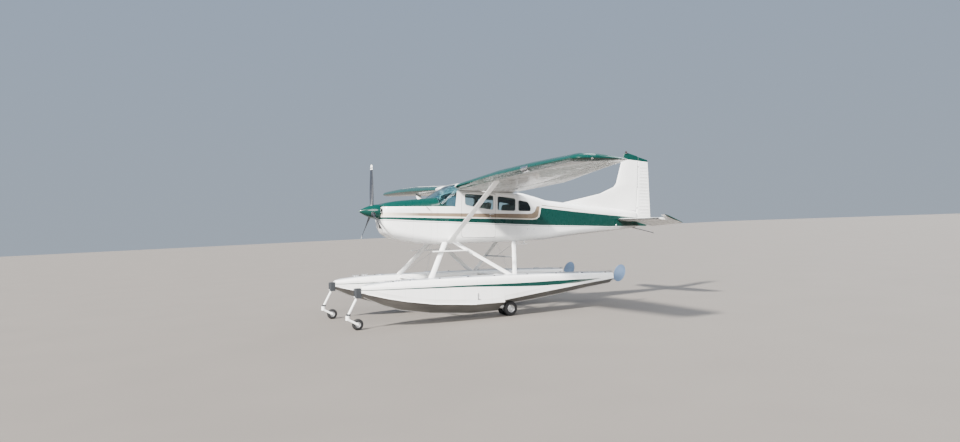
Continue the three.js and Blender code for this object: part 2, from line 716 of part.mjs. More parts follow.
// z, trailing edge, thickness at the hinge
const RUDDER_SECTIONS = [
  [-200, 7650, 40],
  [-140, 7712, 52],
  [40, 7790, 60],
  [1380, 7712, 52],
  [1545, 7690, 40],
];
function rudder() {
  const rings = RUDDER_SECTIONS.map(([z, tail, thickness]) => {
    const hinge = hingeAt(z);
    const nose = hinge - 26;
    return [
      v3(0, nose, z),
      v3(thickness / 2 * 0.8, hinge - 14, z),
      v3(thickness / 2, hinge + 8, z),
      v3(3, tail, z),
      v3(-3, tail, z),
      v3(-thickness / 2, hinge + 8, z),
      v3(-thickness / 2 * 0.8, hinge - 14, z),
    ];
  });
  for (const point of rings[rings.length - 1]) point.z -= (point.y - hingeAt(1545)) * TOP_SLOPE * 0.9;
  let whole = toSolid(loft(rings));
  for (const z of RUDDER_HINGES) {
    const { slot, pin } = rudderHinge(z);
    whole = whole.subtract(slot).add(pin);
  }
  return whole;
}
add(airframe, 'rudder', rudder(), WHITE);
add(airframe, 'tailcone', tailcone, WHITE);
add(airframe, 'tail_rod', toSolid(rod(v3(0, 7190, -236), v3(0, 7905, -372), 22, 22, 10))
  .subtract(fuselageLoft(TAIL_SECTIONS, -GAP, 0, 0)), DARK_METAL);

// Wing

const leadAt = (x) => WING_LE + Math.max(0, x - TAPER_START) * 110 / (5250 - TAPER_START);
const chordAt = (x) => CHORD - Math.max(0, x - TAPER_START) * (CHORD - TIP_CHORD) / (5250 - TAPER_START);
const twistAt = (x) => THREE.MathUtils.degToRad(1.5 - 3 * Math.max(0, x - TAPER_START) / (5250 - TAPER_START));
const wingZAt = (x) => WING_Z + (x - WING_ROOT) * Math.tan(DIHEDRAL);

// A cambered section: half thickness and camber line at a part of the chord
function sectionAt(part, thickness) {
  const camberMax = 0.02;
  const camberPlace = 0.4;
  const half = 5 * thickness * (0.2969 * Math.sqrt(part) - 0.126 * part - 0.3516 * part ** 2
    + 0.2843 * part ** 3 - 0.1015 * part ** 4) + 0.0015 * part;
  const camber = part < camberPlace
    ? camberMax / camberPlace ** 2 * (2 * camberPlace * part - part ** 2)
    : camberMax / (1 - camberPlace) ** 2 * (1 - 2 * camberPlace + 2 * camberPlace * part - part ** 2);
  return { half, camber };
}

// A point of the wing's skin: face is 1 above, -1 below, 0 on the middle line
function wingPoint(x, part, face, lead, chord, twist, z, thickness) {
  const { half, camber } = sectionAt(part, thickness);
  const along = part * chord;
  const up = (camber + face * half) * chord;
  return v3(
    x,
    lead + along * Math.cos(twist) + up * Math.sin(twist),
    z - along * Math.sin(twist) + up * Math.cos(twist),
  );
}
const wingAt = (x, part, face) => wingPoint(x, part, face, leadAt(x), chordAt(x), twistAt(x), wingZAt(x), 0.12);

const CHORD_PARTS = [0, 0.012, 0.04, 0.09, 0.16, 0.26, 0.38, 0.52, 0.66, 0.8, 0.92, 1];
function wingRing(point) {
  const upper = CHORD_PARTS.map((part) => point(part, 1));
  const lower = CHORD_PARTS.slice(1).map((part) => point(part, -1));
  return [...upper, ...lower.reverse()];
}

// x, lead behind the leading edge line, share of the chord, thickness: the rounded tip
const TIP_SECTIONS = [
  [5350, 25, 0.96, 0.115],
  [5415, 85, 0.86, 0.085],
  [HALF_SPAN, 190, 0.68, 0.03],
];
function wholeWing() {
  const rings = [WING_ROOT + GAP, TAPER_START, 3900, 5250].map((x) => wingRing((part, face) => wingAt(x, part, face)));
  for (const [x, lead, share, thickness] of TIP_SECTIONS) {
    rings.push(wingRing((part, face) => wingPoint(x, part, face, leadAt(x) + lead, chordAt(x) * share,
      twistAt(5250), wingZAt(x), thickness)));
  }
  return toSolid(loft(rings));
}

// Flap and aileron spans, from the root side out
const FLAP_SPAN = [640, 2540];
const AILERON_SPAN = [2570, 5150];
const NOSE_ROOM = 4;

function controlRing(x) {
  const top = wingAt(x, HINGE_FRACTION, 1);
  const bottom = wingAt(x, HINGE_FRACTION, -1);
  const middle = top.clone().add(bottom).multiplyScalar(0.5);
  const radius = top.distanceTo(bottom) / 2;
  const ring = [];
  const steps = 6;
  for (let k = 0; k <= steps; k += 1) {
    const angle = Math.PI / 2 + Math.PI * k / steps;
    ring.push(v3(x, middle.y + radius * Math.cos(angle), middle.z + radius * Math.sin(angle)));
  }
  ring.push(wingAt(x, 0.88, -1), wingAt(x, 1, -1), wingAt(x, 1, 1), wingAt(x, 0.88, 1));
  return ring;
}
const hingeMiddle = (x) => wingAt(x, HINGE_FRACTION, 1).add(wingAt(x, HINGE_FRACTION, -1)).multiplyScalar(0.5);
const hingeRadius = (x) => wingAt(x, HINGE_FRACTION, 1).distanceTo(wingAt(x, HINGE_FRACTION, -1)) / 2;

function controlCut([x0, x1]) {
  const front = (x) => hingeMiddle(x).y - hingeRadius(x) - SWING_GAP - NOSE_ROOM;
  return toSolid(planPrism([
    [x0 - SWING_GAP, front(x0)], [x1 + SWING_GAP, front(x1)], [x1 + SWING_GAP, 4200], [x0 - SWING_GAP, 4200],
  ], 300, 900));
}
const controlSurface = (stations) => toSolid(loft(stations.map(controlRing)));

const AILERON_HINGES = [3100, 4700];
function aileronHinge(x) {
  const [inner, outer] = AILERON_SPAN.map(hingeMiddle);
  const at = inner.clone().lerp(outer, (x - inner.x) / (outer.x - inner.x));
  return hinge(at, outer.clone().sub(inner).normalize(), hingeRadius(x) + SWING_GAP + NOSE_ROOM + 10, 80);
}

// Each flap runs on curved tracks: a plate from the wing reaches into a slot in the flap's nose, where
// a roller pin rides on its upper edge. Angles are measured aft from straight above the swing axis.
const FLAP_TRACKS = [800, 1590, 2380];
const FLAP_AXIS_DROP = 130;         // swing axis below the flap's nose
const FLAP_TRAVEL = 40;
const TRACK = { half: 4, height: 26, roller: 8 };
const trackTop = FLAP_AXIS_DROP - TRACK.roller - GAP;
function sectorPoints(centre, radius, fromAngle, toAngle, steps) {
  return Array.from({ length: steps + 1 }, (_, k) => {
    const angle = THREE.MathUtils.degToRad(fromAngle + (toAngle - fromAngle) * k / steps);
    return [centre.y + radius * Math.sin(angle), centre.z + radius * Math.cos(angle)];
  });
}
function flapTrack(x) {
  const nose = hingeMiddle(x);
  const centre = nose.clone().add(v3(0, 0, -FLAP_AXIS_DROP));
  const wingWall = nose.y - hingeRadius(x) - SWING_GAP - NOSE_ROOM;
  const inner = trackTop - TRACK.height;
  const plate = [
    [wingWall - 14, centre.z + trackTop],
    ...sectorPoints(centre, trackTop, 0, FLAP_TRAVEL + 2, 6),
    ...sectorPoints(centre, inner, FLAP_TRAVEL + 2, 0, 3),
    [wingWall - 14, centre.z + inner],
  ];
  const room = [
    ...sectorPoints(centre, FLAP_AXIS_DROP + TRACK.roller + 2, -80, FLAP_TRAVEL + 6, 9),
    ...sectorPoints(centre, inner - 7, FLAP_TRAVEL + 6, -80, 6),
  ];
  return {
    plate: toSolid(sidePrism(plate, x - TRACK.half, x + TRACK.half)),
    slot: toSolid(sidePrism(room, x - TRACK.half - 6, x + TRACK.half + 6)),
    pin: toSolid(rod(nose.clone().add(v3(-TRACK.half - 8, 0, 0)), nose.clone().add(v3(TRACK.half + 8, 0, 0)),
      2 * TRACK.roller, 2 * TRACK.roller, 12)),
  };
}

let portWing = wholeWing().subtract(controlCut(FLAP_SPAN)).subtract(controlCut(AILERON_SPAN));
let portFlap = controlSurface(FLAP_SPAN);
for (const x of FLAP_TRACKS) {
  const { plate, slot, pin } = flapTrack(x);
  portWing = portWing.add(plate);
  portFlap = portFlap.subtract(slot).add(pin);
}
let portAileron = controlSurface([AILERON_SPAN[0], 3900, AILERON_SPAN[1]]);
for (const x of AILERON_HINGES) {
  const { lug, slot, pin } = aileronHinge(x);
  portWing = portWing.add(lug);
  portAileron = portAileron.subtract(slot).add(pin);
}

const STRUT_TOP = v3(2500, WING_LE + 200, WING_Z + 81);
const STRUT_FOOT = v3(500, 1955, -640);
const fuselageKeepOut = fuselageLoft(CABIN_SECTIONS, -GAP);
const wingBelow = portWing.translate([0, 0, -GAP]);
const portStrut = toSolid(rod(STRUT_FOOT, STRUT_TOP, 128, 46, 12)).subtract(fuselageKeepOut)
  .subtract(portWing).subtract(wingBelow)
  .subtract(toSolid(box(2000, 3000, 1500, 3000, WING_Z + 69, 1200)));

for (const [sideName, side] of SIDES) {
  add(airframe, `wing_${sideName}`, mirrored(portWing, side), WHITE);
  add(airframe, `flap_${sideName}`, mirrored(portFlap, side), WHITE);
  add(airframe, `aileron_${sideName}`, mirrored(portAileron, side), WHITE);
  add(airframe, `wing_strut_${sideName}`, mirrored(portStrut, side), WHITE);
}

// Centre section over the cabin, flat underneath where it sits on the roof and blunt in front
function wingCentre() {
  const frontPart = (CENTRE_FRONT - WING_LE) / CHORD;
  const parts = [frontPart, ...CHORD_PARTS.slice(0, -1).filter((part) => part > frontPart + 0.01)];
  const ring = (x) => {
    const upper = parts.map((part) => wingPoint(x, part, 1, WING_LE, CHORD, twistAt(0), WING_Z, 0.12));
    const back = upper[upper.length - 1];
    const lower = [v3(x, back.y, ROOF + GAP), v3(x, upper[0].y, ROOF + GAP)];
    return [...upper, ...lower];
  };
  return toSolid(loft([ring(-WING_ROOT), ring(WING_ROOT)])).subtract(fuselageKeepOut);
}
add(airframe, 'wing_centre', wingCentre(), WHITE);

// Cabin inside

const FLOOR = -640;
add(airframe, 'instrument_panel', toSolid(box(-600, 600, 1720, 1790, -160, 200)).intersect(
  fuselageLoft(CABIN_SECTIONS, WALL + GAP)), PANEL_DARK);
function seat(x, y, width) {
  const base = toSolid(box(x - width / 2, x + width / 2, y, y + 470, FLOOR - 100, FLOOR + 400));
  const backOutline = [[y + 400, FLOOR + 360], [y + 500, FLOOR + 360], [y + 640, FLOOR + 950], [y + 550, FLOOR + 960]];
  return base.add(toSolid(sidePrism(backOutline, x - width / 2, x + width / 2)));
}
// name, x of the middle, y of the front edge, width
const SEATS = [
  ['seat_front_port', 255, 2380, 430],
  ['seat_front_starboard', -255, 2380, 430],
  ['seat_rear_bench', 0, 3130, 880],
];
for (const [name, x, y, width] of SEATS) {
  add(airframe, name, seat(x, y, width).intersect(fuselageLoft(CABIN_SECTIONS, WALL + GAP)), FABRIC);
}

// Floats, level on the ground; heights here are above the ground

// y, keel, chine height, chine half beam, sheer height, sheer half beam, deck height, deck half beam
const HULL_FORE = [
  [-300, 680, 745, 95, 815, 110, 860, 80],
  [-160, 605, 712, 175, 822, 190, 895, 135],
  [180, 450, 622, 265, 832, 275, 925, 190],
  [540, 335, 545, 320, 838, 322, 940, 225],
  [1170, 230, 450, 368, 832, 355, 945, 255],
  [2120, 158, 380, 380, 822, 362, 942, 262],
  [STEP_STATION, 172, 385, 380, 815, 362, 938, 262],
];
const HULL_AFT = [
  [STEP_STATION, 292, 430, 372, 815, 362, 938, 262],
  [3600, 365, 530, 352, 805, 345, 925, 250],
  [4320, 448, 605, 312, 792, 305, 905, 222],
  [5020, 548, 672, 248, 778, 242, 880, 178],
  [5680, 622, 728, 172, 765, 168, 852, 124],
];
function hullRing([y, keel, chine, beam, sheer, sheerBeam, deck, deckBeam]) {
  const port = [
    [0, keel],
    [beam * 0.5, keel + (chine - keel) * 0.56],
    [beam, chine],
    [sheerBeam, sheer],
    [(sheerBeam + deckBeam) / 2 + 12, sheer + (deck - sheer) * 0.66],
    [deckBeam, deck],
    [0, deck + 14],
  ];
  const starboard = port.slice(1, -1).reverse().map(([x, z]) => [-x, z]);
  return [...port, ...starboard].map(([x, z]) => v3(x, y, z));
}
const floatHull = toSolid(loft(HULL_FORE.map(hullRing))).add(toSolid(loft(HULL_AFT.map(hullRing))));

const WHEEL_STATION = 2975;
const MAIN_RADIUS = 158;
const NOSE_STATION = -375;
const NOSE_RADIUS = 114;
// Wheel centres above the floats' base line, so that all four pairs touch level ground
const wheelHeight = (station, radius) =>
  (radius + (station - NOSE_STATION) * Math.sin(GROUND_TILT)) / Math.cos(GROUND_TILT);
const MAIN_CENTRE = wheelHeight(WHEEL_STATION, MAIN_RADIUS);
const NOSE_CENTRE = wheelHeight(NOSE_STATION, NOSE_RADIUS);
const TWIN_SPACING = 300;

function tyreAndHub(radius, width, hubRadius) {
  const round = width * 0.35;
  const half = width / 2;
  const profile = [[14, -half * 0.7], [hubRadius, -half * 0.7], [hubRadius + 6, -half]];
  profile.push([radius - round, -half], [radius - round * 0.3, -half + round * 0.35], [radius, -half + round]);
  profile.push([radius, half - round], [radius - round * 0.3, half - round * 0.35], [radius - round, half]);
  profile.push([hubRadius + 6, half], [hubRadius, half * 0.7], [14, half * 0.7], [14, -half * 0.7]);
  return turned(profile, 'x', 28);
}

const FRONT_FOOT_STATION = 1195;
const REAR_FOOT_STATION = 3185;
const DIAGONAL_FOOT_STATION = 3150;
const DECK = 950;

// A point of the airframe in level coordinates
const levelPoint = (x, y, z) => v3(x, y, z).applyMatrix4(
  new THREE.Matrix4().makeRotationX(-NOSE_UP)).add(v3(0, 0, THRUST_HEIGHT));
const bellyCutter = toSolid(toGeometry(fuselageKeepOut).applyMatrix4(
  new THREE.Matrix4().makeRotationX(-NOSE_UP)).translate(0, 0, THRUST_HEIGHT));

// name, belly x and y in the airframe, deck y, width along, thickness
const FLOAT_STRUTS = [
  ['front_strut', 440, 1880, FRONT_FOOT_STATION, 112, 50],
  ['diagonal_strut', 440, 1976, DIAGONAL_FOOT_STATION, 100, 42],
  ['rear_strut', 440, 3565, REAR_FOOT_STATION, 96, 44],
];

// Nose gear: housing at the bow, leg, fork that casters, wheel
const NOSE_BOX = { halfWidth: 72, front: -432, back: -300 - GAP, bottom: 640, top: 836, corner: 42 };
const CASTER_STATION = -575;
const noseBox = toSolid(sidePrism(rounded([
  [NOSE_BOX.front, NOSE_BOX.top], [NOSE_BOX.back + NOSE_BOX.corner, NOSE_BOX.top],
  [NOSE_BOX.back + NOSE_BOX.corner, NOSE_BOX.bottom], [NOSE_BOX.front, NOSE_BOX.bottom],
], NOSE_BOX.corner), -NOSE_BOX.halfWidth, NOSE_BOX.halfWidth))
  .intersect(toSolid(planPrism(rounded([
    [-NOSE_BOX.halfWidth, NOSE_BOX.front], [NOSE_BOX.halfWidth, NOSE_BOX.front],
    [NOSE_BOX.halfWidth, NOSE_BOX.back + NOSE_BOX.corner], [-NOSE_BOX.halfWidth, NOSE_BOX.back + NOSE_BOX.corner],
  ], NOSE_BOX.corner), NOSE_BOX.bottom, NOSE_BOX.top)))
  .subtract(toSolid(box(-200, 200, NOSE_BOX.back, 0, 0, 1000)));

function upright(profile, y) {
  return toSolid(turned(profile, 'z', 20)).translate([0, y, 0]);
}

function crossPin(radius, x0, x1, y, z, sides = 16) {
  return toSolid(rod(v3(x0, y, z), v3(x1, y, z), 2 * radius, 2 * radius, sides));
}

function noseLeg() {
  const shaft = toSolid(rod(v3(0, -350, 700), v3(0, CASTER_STATION, 285), 52, 50, 12));
  const collar = upright([[0, 250], [42, 250], [42, 300], [0, 300]], CASTER_STATION);
  return shaft.subtract(floatHull).add(noseBox).add(collar);
}

function noseFork() {
  const cap = upright([[0, 214], [44, 214], [44, 250 - GAP], [0, 250 - GAP]], CASTER_STATION);
  const arm = (x) => toSolid(rod(v3(x, CASTER_STATION, 228), v3(x, NOSE_STATION, NOSE_CENTRE), 44, 16, 10));
  const bridge = toSolid(box(-64, 64, CASTER_STATION - 22, CASTER_STATION + 22, 212, 240));
  const axle = crossPin(13.5, -62, 62, NOSE_STATION, NOSE_CENTRE, 20);
  return cap.add(bridge).add(arm(56)).add(arm(-56)).add(axle);
}

// Main gear: trailing leg with an eye for the axle, and two wheels fixed on their axle
const AXLE_RADIUS = 22;
const EYE_HALF_WIDTH = 55;
function mainLeg() {
  const arm = toSolid(rod(v3(0, 2600, 320), v3(0, WHEEL_STATION, MAIN_CENTRE), 90, 64, 12));
  const eye = crossPin(44, -EYE_HALF_WIDTH, EYE_HALF_WIDTH, WHEEL_STATION, MAIN_CENTRE, 20);
  const bore = crossPin(AXLE_RADIUS + GAP, -200, 200, WHEEL_STATION, MAIN_CENTRE, 24);
  return arm.subtract(floatHull).subtract(floatHull.translate([0, 0, -GAP]))
    .subtract(floatHull.translate([0, GAP, 0])).add(eye).subtract(bore);
}

function mainWheels() {
  const wheel = toSolid(tyreAndHub(MAIN_RADIUS, 100, 78));
  const axle = toSolid(turned([[0, -170], [AXLE_RADIUS, -170], [AXLE_RADIUS, 170], [0, 170]], 'x', 24));
  return wheel.translate([TWIN_SPACING / 2, 0, 0]).add(wheel.translate([-TWIN_SPACING / 2, 0, 0])).add(axle)
    .translate([0, WHEEL_STATION, MAIN_CENTRE]);
}

// Water rudder: post in two lugs at the transom, clevis and blade, lifted
const POST = { station: 5716, radius: 18, bottom: 640, top: 900 };
const LIFT_PIVOT = { station: 5775, height: 690 };
const BLADE_HALF_THICKNESS = 8;
const CLEVIS_GAP = 0.8;
const BLADE_CENTRE = { station: 5965, height: 828 };
const BLADE_LEAN = THREE.MathUtils.degToRad(62);

const postBore = upright([[0, 500], [POST.radius + GAP, 500], [POST.radius + GAP, 1000], [0, 1000]], POST.station);
function gudgeons() {
  const lug = (z) => toSolid(box(-32, 32, 5660, POST.station + 30, z, z + 18));
  return lug(726).add(lug(812)).subtract(postBore);
}

function waterRudderPost() {
  const post = upright([[0, POST.bottom], [POST.radius, POST.bottom], [POST.radius, POST.top], [0, POST.top]],
    POST.station);
  const inner = BLADE_HALF_THICKNESS + CLEVIS_GAP;
  const cheek = (side) => toSolid(box(side > 0 ? inner : -inner - 9, side > 0 ? inner + 9 : -inner,
    POST.station, LIFT_PIVOT.station + 22, LIFT_PIVOT.height - 22, LIFT_PIVOT.height + 22));
  const pin = crossPin(8, -inner - 5, inner + 5, LIFT_PIVOT.station, LIFT_PIVOT.height);
  const horn = toSolid(box(-95, 95, POST.station - 14, POST.station + 14, 880, 892));
  return post.add(cheek(1)).add(cheek(-1)).add(pin).add(horn);
}

function waterRudderBlade() {
  const outline = [];
  const steps = 20;
  for (let k = 0; k < steps; k += 1) {
    const angle = 2 * Math.PI * k / steps;
    const along = 212 * Math.cos(angle);
    const across = 150 * Math.sin(angle);
    outline.push([
      BLADE_CENTRE.station + along * Math.cos(BLADE_LEAN) - across * Math.sin(BLADE_LEAN),
      BLADE_CENTRE.height + along * Math.sin(BLADE_LEAN) + across * Math.cos(BLADE_LEAN),
    ]);
  }
  const plate = toSolid(sidePrism(outline, -BLADE_HALF_THICKNESS, BLADE_HALF_THICKNESS));
  const arm = [[LIFT_PIVOT.station - 20, LIFT_PIVOT.height - 12], [LIFT_PIVOT.station, LIFT_PIVOT.height - 22],
    [5900, 700], [5900, 800], [LIFT_PIVOT.station - 12, LIFT_PIVOT.height + 20]];
  const bore = crossPin(8 + GAP, -60, 60, LIFT_PIVOT.station, LIFT_PIVOT.height);
  return plate.add(toSolid(sidePrism(arm, -BLADE_HALF_THICKNESS, BLADE_HALF_THICKNESS))).subtract(bore);
}

const BRACE_HEIGHT = 1305;
const STEP_HEIGHT = 1500;
const WELL_ROOM = 18;
function wheelWells() {
  const well = (x) => crossPin(MAIN_RADIUS + WELL_ROOM, x - 50 - WELL_ROOM, x + 50 + WELL_ROOM, WHEEL_STATION,
    MAIN_CENTRE, 28);
  return well(TWIN_SPACING / 2).add(well(-TWIN_SPACING / 2));
}
const floatSolid = floatHull.add(gudgeons()).subtract(wheelWells());
for (const [sideName, side] of SIDES) {
  const half = new THREE.Group();
  half.position.x = FLOAT_X * side;
  craft.add(half);
  add(half, `float_${sideName}`, floatSolid, FLOAT_WHITE);
  add(half, `nose_leg_${sideName}`, noseLeg(), WHITE);
  add(half, `nose_fork_${sideName}`, noseFork(), GREY_METAL);
  add(half, `nose_wheel_${sideName}`, tyreAndHub(NOSE_RADIUS, 84, 52).translate(0, NOSE_STATION, NOSE_CENTRE),
    RUBBER);
  add(half, `main_leg_${sideName}`, mainLeg(), WHITE);
  add(half, `main_wheels_${sideName}`, mainWheels(), RUBBER);
  add(half, `water_rudder_post_${sideName}`, waterRudderPost(), GREY_METAL);
  add(half, `water_rudder_blade_${sideName}`, waterRudderBlade(), PALE_BLUE);
}

// Struts from the floats' decks to the belly, with what they carry
const portDeck = floatHull.translate([FLOAT_X, 0, GAP]);
const strutSolids = {};
for (const [name, bellyX, bellyY, footY, width, thickness] of FLOAT_STRUTS) {
  const head = levelPoint(bellyX, bellyY, -600);
  const foot = v3(FLOAT_X, footY, DECK - 60);
  strutSolids[name] = toSolid(rod(foot, head, width, thickness, 12)).subtract(bellyCutter).subtract(portDeck);
}
strutSolids.diagonal_strut = strutSolids.diagonal_strut.subtract(strutSolids.rear_strut)
  .subtract(strutSolids.rear_strut.translate([0, -GAP, 0]))
  .subtract(toSolid(box(0, 2000, REAR_FOOT_STATION, 4000, 800, 1100)));
// The boarding step is welded to the front strut and ends against the diagonal one.
const stepPlate = toSolid(box(672, 772, 1440, 2270, STEP_HEIGHT - 12, STEP_HEIGHT + 12))
  .subtract(strutSolids.diagonal_strut).subtract(strutSolids.diagonal_strut.translate([GAP, 0, 0]));
strutSolids.front_strut = strutSolids.front_strut.add(stepPlate);
for (const [name] of FLOAT_STRUTS) {
  for (const [sideName, side] of SIDES) {
    add(craft, `${name}_${sideName}`, mirrored(strutSolids[name], side), WHITE);
  }
}

const bothSides = (solid) => solid.add(toSolid(mirrored(solid, -1)));
const hulls = bothSides(floatHull.translate([FLOAT_X, 0, 0]));
const hullsApart = hulls.add(hulls.translate([0, 0, GAP])).add(hulls.scale([1 - GAP / 700, 1, 1]));
for (const [name, y] of [['spreader_front', FRONT_FOOT_STATION], ['spreader_rear', REAR_FOOT_STATION]]) {
  const bar = toSolid(rod(v3(-900, y, 885), v3(900, y, 885), 96, 44, 12));
  add(craft, name, bar.subtract(hullsApart), WHITE);
}
const rearStruts = bothSides(strutSolids.rear_strut);
const braceAt = (REAR_FOOT_STATION + levelPoint(0, 3565, -600).y) / 2;
const brace = toSolid(rod(v3(-820, braceAt, BRACE_HEIGHT), v3(820, braceAt, BRACE_HEIGHT), 34, 34, 10));
const insideStruts = toSolid(box(-770, 770, 2000, 4500, 1000, 1600));
add(craft, 'rear_brace_bar', brace.intersect(insideStruts).subtract(rearStruts)
  .subtract(rearStruts.scale([1 - GAP / 700, 1, 1])), WHITE);
// The part stands on the ground and is centred on its own box.
root.updateMatrixWorld(true);
const bounds = new THREE.Box3().setFromObject(root, true);
root.position.y = -(bounds.min.y + bounds.max.y) / 2;
root.position.z = -bounds.min.z;

export default root;
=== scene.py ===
# %% [markdown]
# A floatplane, dressed in Blender
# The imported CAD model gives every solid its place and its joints. This file gives it its looks:
# the paint and its stripes, glass, rubber, cloth, and the small things that catch the eye.
# Everything is in metres, +Z up, with the nose toward -Y and the port wing toward +X.

# %% Start: load the frame
import math
import json

import bpy
import bmesh
from mathutils import Matrix, Vector
from mathutils.bvhtree import BVHTree


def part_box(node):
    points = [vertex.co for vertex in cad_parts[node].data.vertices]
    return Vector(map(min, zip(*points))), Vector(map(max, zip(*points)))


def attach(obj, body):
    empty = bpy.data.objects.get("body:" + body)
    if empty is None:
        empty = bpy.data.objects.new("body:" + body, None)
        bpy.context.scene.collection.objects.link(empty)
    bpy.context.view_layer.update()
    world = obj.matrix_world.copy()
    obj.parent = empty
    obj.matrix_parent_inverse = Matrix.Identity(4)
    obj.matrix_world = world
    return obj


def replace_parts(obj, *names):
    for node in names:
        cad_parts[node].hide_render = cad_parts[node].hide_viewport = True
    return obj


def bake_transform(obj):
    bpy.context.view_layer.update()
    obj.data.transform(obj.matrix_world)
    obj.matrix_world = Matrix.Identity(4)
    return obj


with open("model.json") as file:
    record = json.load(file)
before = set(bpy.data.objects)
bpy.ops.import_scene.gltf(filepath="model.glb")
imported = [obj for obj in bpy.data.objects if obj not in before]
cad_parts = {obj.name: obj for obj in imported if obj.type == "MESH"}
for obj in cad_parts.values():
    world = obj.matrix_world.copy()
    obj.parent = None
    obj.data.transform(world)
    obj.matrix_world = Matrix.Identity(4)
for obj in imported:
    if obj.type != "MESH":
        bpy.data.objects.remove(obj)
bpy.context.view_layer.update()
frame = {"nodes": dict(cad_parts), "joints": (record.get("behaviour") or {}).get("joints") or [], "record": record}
nodes = frame["nodes"]
joints = {joint["name"]: joint for joint in frame["joints"]}


def new_object(name, data):
    """A new object, put into the scene."""
    made = bpy.data.objects.new(name, data)
    bpy.context.scene.collection.objects.link(made)
    return made


def feed(socket, value):
    """Give a socket a plain value, or a link from another node's output."""
    if isinstance(value, bpy.types.NodeSocket):
        socket.id_data.links.new(value, socket)
    else:
        socket.default_value = value


def fed(node, **inputs):
    """A node whose named inputs have been fed."""
    for name, value in inputs.items():
        feed(node.inputs[name.replace("_", " ")], value)
    return node


# %% [markdown]
# The fuselage stands nose-up and the floats tail-down, so two tilted rulers are handy. The
# airframe ruler starts at the spinner's tip, with y running aft along the thrust line and z up
# from it. The propeller's joint gives both its origin and its direction. The float ruler is
# level with the decks, and the nose caster's joint gives its direction.

# %% Two rulers: airframe and floats
def ruler(origin, y_axis):
    """A matrix from ruler coordinates to the shared frame; x always runs to port."""
    along = Vector(y_axis).normalized()
    up = Vector((1, 0, 0)).cross(along)
    turn = Matrix(((1, 0, 0), along, up)).transposed()
    return Matrix.Translation(origin) @ turn.to_4x4()


spin = joints["propeller_spin"]
AIR = ruler(spin["pos_m"], spin["axis"])
AFT = Vector(spin["axis"])
UP = AIR.to_3x3() @ Vector((0, 0, 1))

FLOAT_X = 1.136                                   # how far a float's middle lies to the side
CASTER_PLACE = Vector((FLOAT_X, -0.575, 0.25))    # the port nose caster on the float ruler
caster = joints["nose_caster_port"]
deck_along = Vector(caster["axis"]).cross(Vector((1, 0, 0))).normalized()
CRAFT = ruler((0, 0, 0), deck_along)
CRAFT = Matrix.Translation(Vector(caster["pos_m"]) - CRAFT @ CASTER_PLACE) @ CRAFT
DECK_UP = CRAFT.to_3x3() @ Vector((0, 0, 1))
SIDES = {"port": 1, "starboard": -1}              # each side, and the sign of its x


def air(x, y, z):
    return AIR @ Vector((x, y, z))


def craft(x, y, z):
    return CRAFT @ Vector((x, y, z))


def ruler_turn(matrix):
    """The ruler's tilt about X, in radians."""
    return matrix.to_euler().x


print("airframe tilt:", round(math.degrees(ruler_turn(AIR)), 2), "deg;",
      "deck tilt:", round(math.degrees(ruler_turn(CRAFT)), 2), "deg")

# %% [markdown]
# The photograph was taken from ahead of the port wing, a little under two metres up. The
# camera's place, direction and lens were solved together from the object's known sizes.

# %% Camera
CAMERA_PLACE = (15.338, -7.672, 1.992)
CAMERA_YAW = math.radians(24.384)      # from -X toward +Y
CAMERA_PITCH = math.radians(0.345)
CAMERA_ROLL = math.radians(-2.522)
CAMERA_LENS = 27.01                    # millimetres, on a sensor 36 mm wide

camera_data = bpy.data.cameras.new("camera")
camera_data.lens = CAMERA_LENS
camera_data.sensor_width = 36.0
camera_data.clip_end = 500.0
camera = new_object("camera", camera_data)
view = Vector((-math.cos(CAMERA_YAW) * math.cos(CAMERA_PITCH),
               math.sin(CAMERA_YAW) * math.cos(CAMERA_PITCH),
               math.sin(CAMERA_PITCH)))
aim = view.to_track_quat("-Z", "Y").to_matrix() @ Matrix.Rotation(CAMERA_ROLL, 3, "Z")
camera.matrix_world = Matrix.Translation(CAMERA_PLACE) @ aim.to_4x4()
bpy.context.scene.camera = camera
print("camera at", CAMERA_PLACE)

# %% [markdown]
# A material is a small graph of nodes. This helper adds nodes with few words, so that a
# stripe can be written almost like a sum.

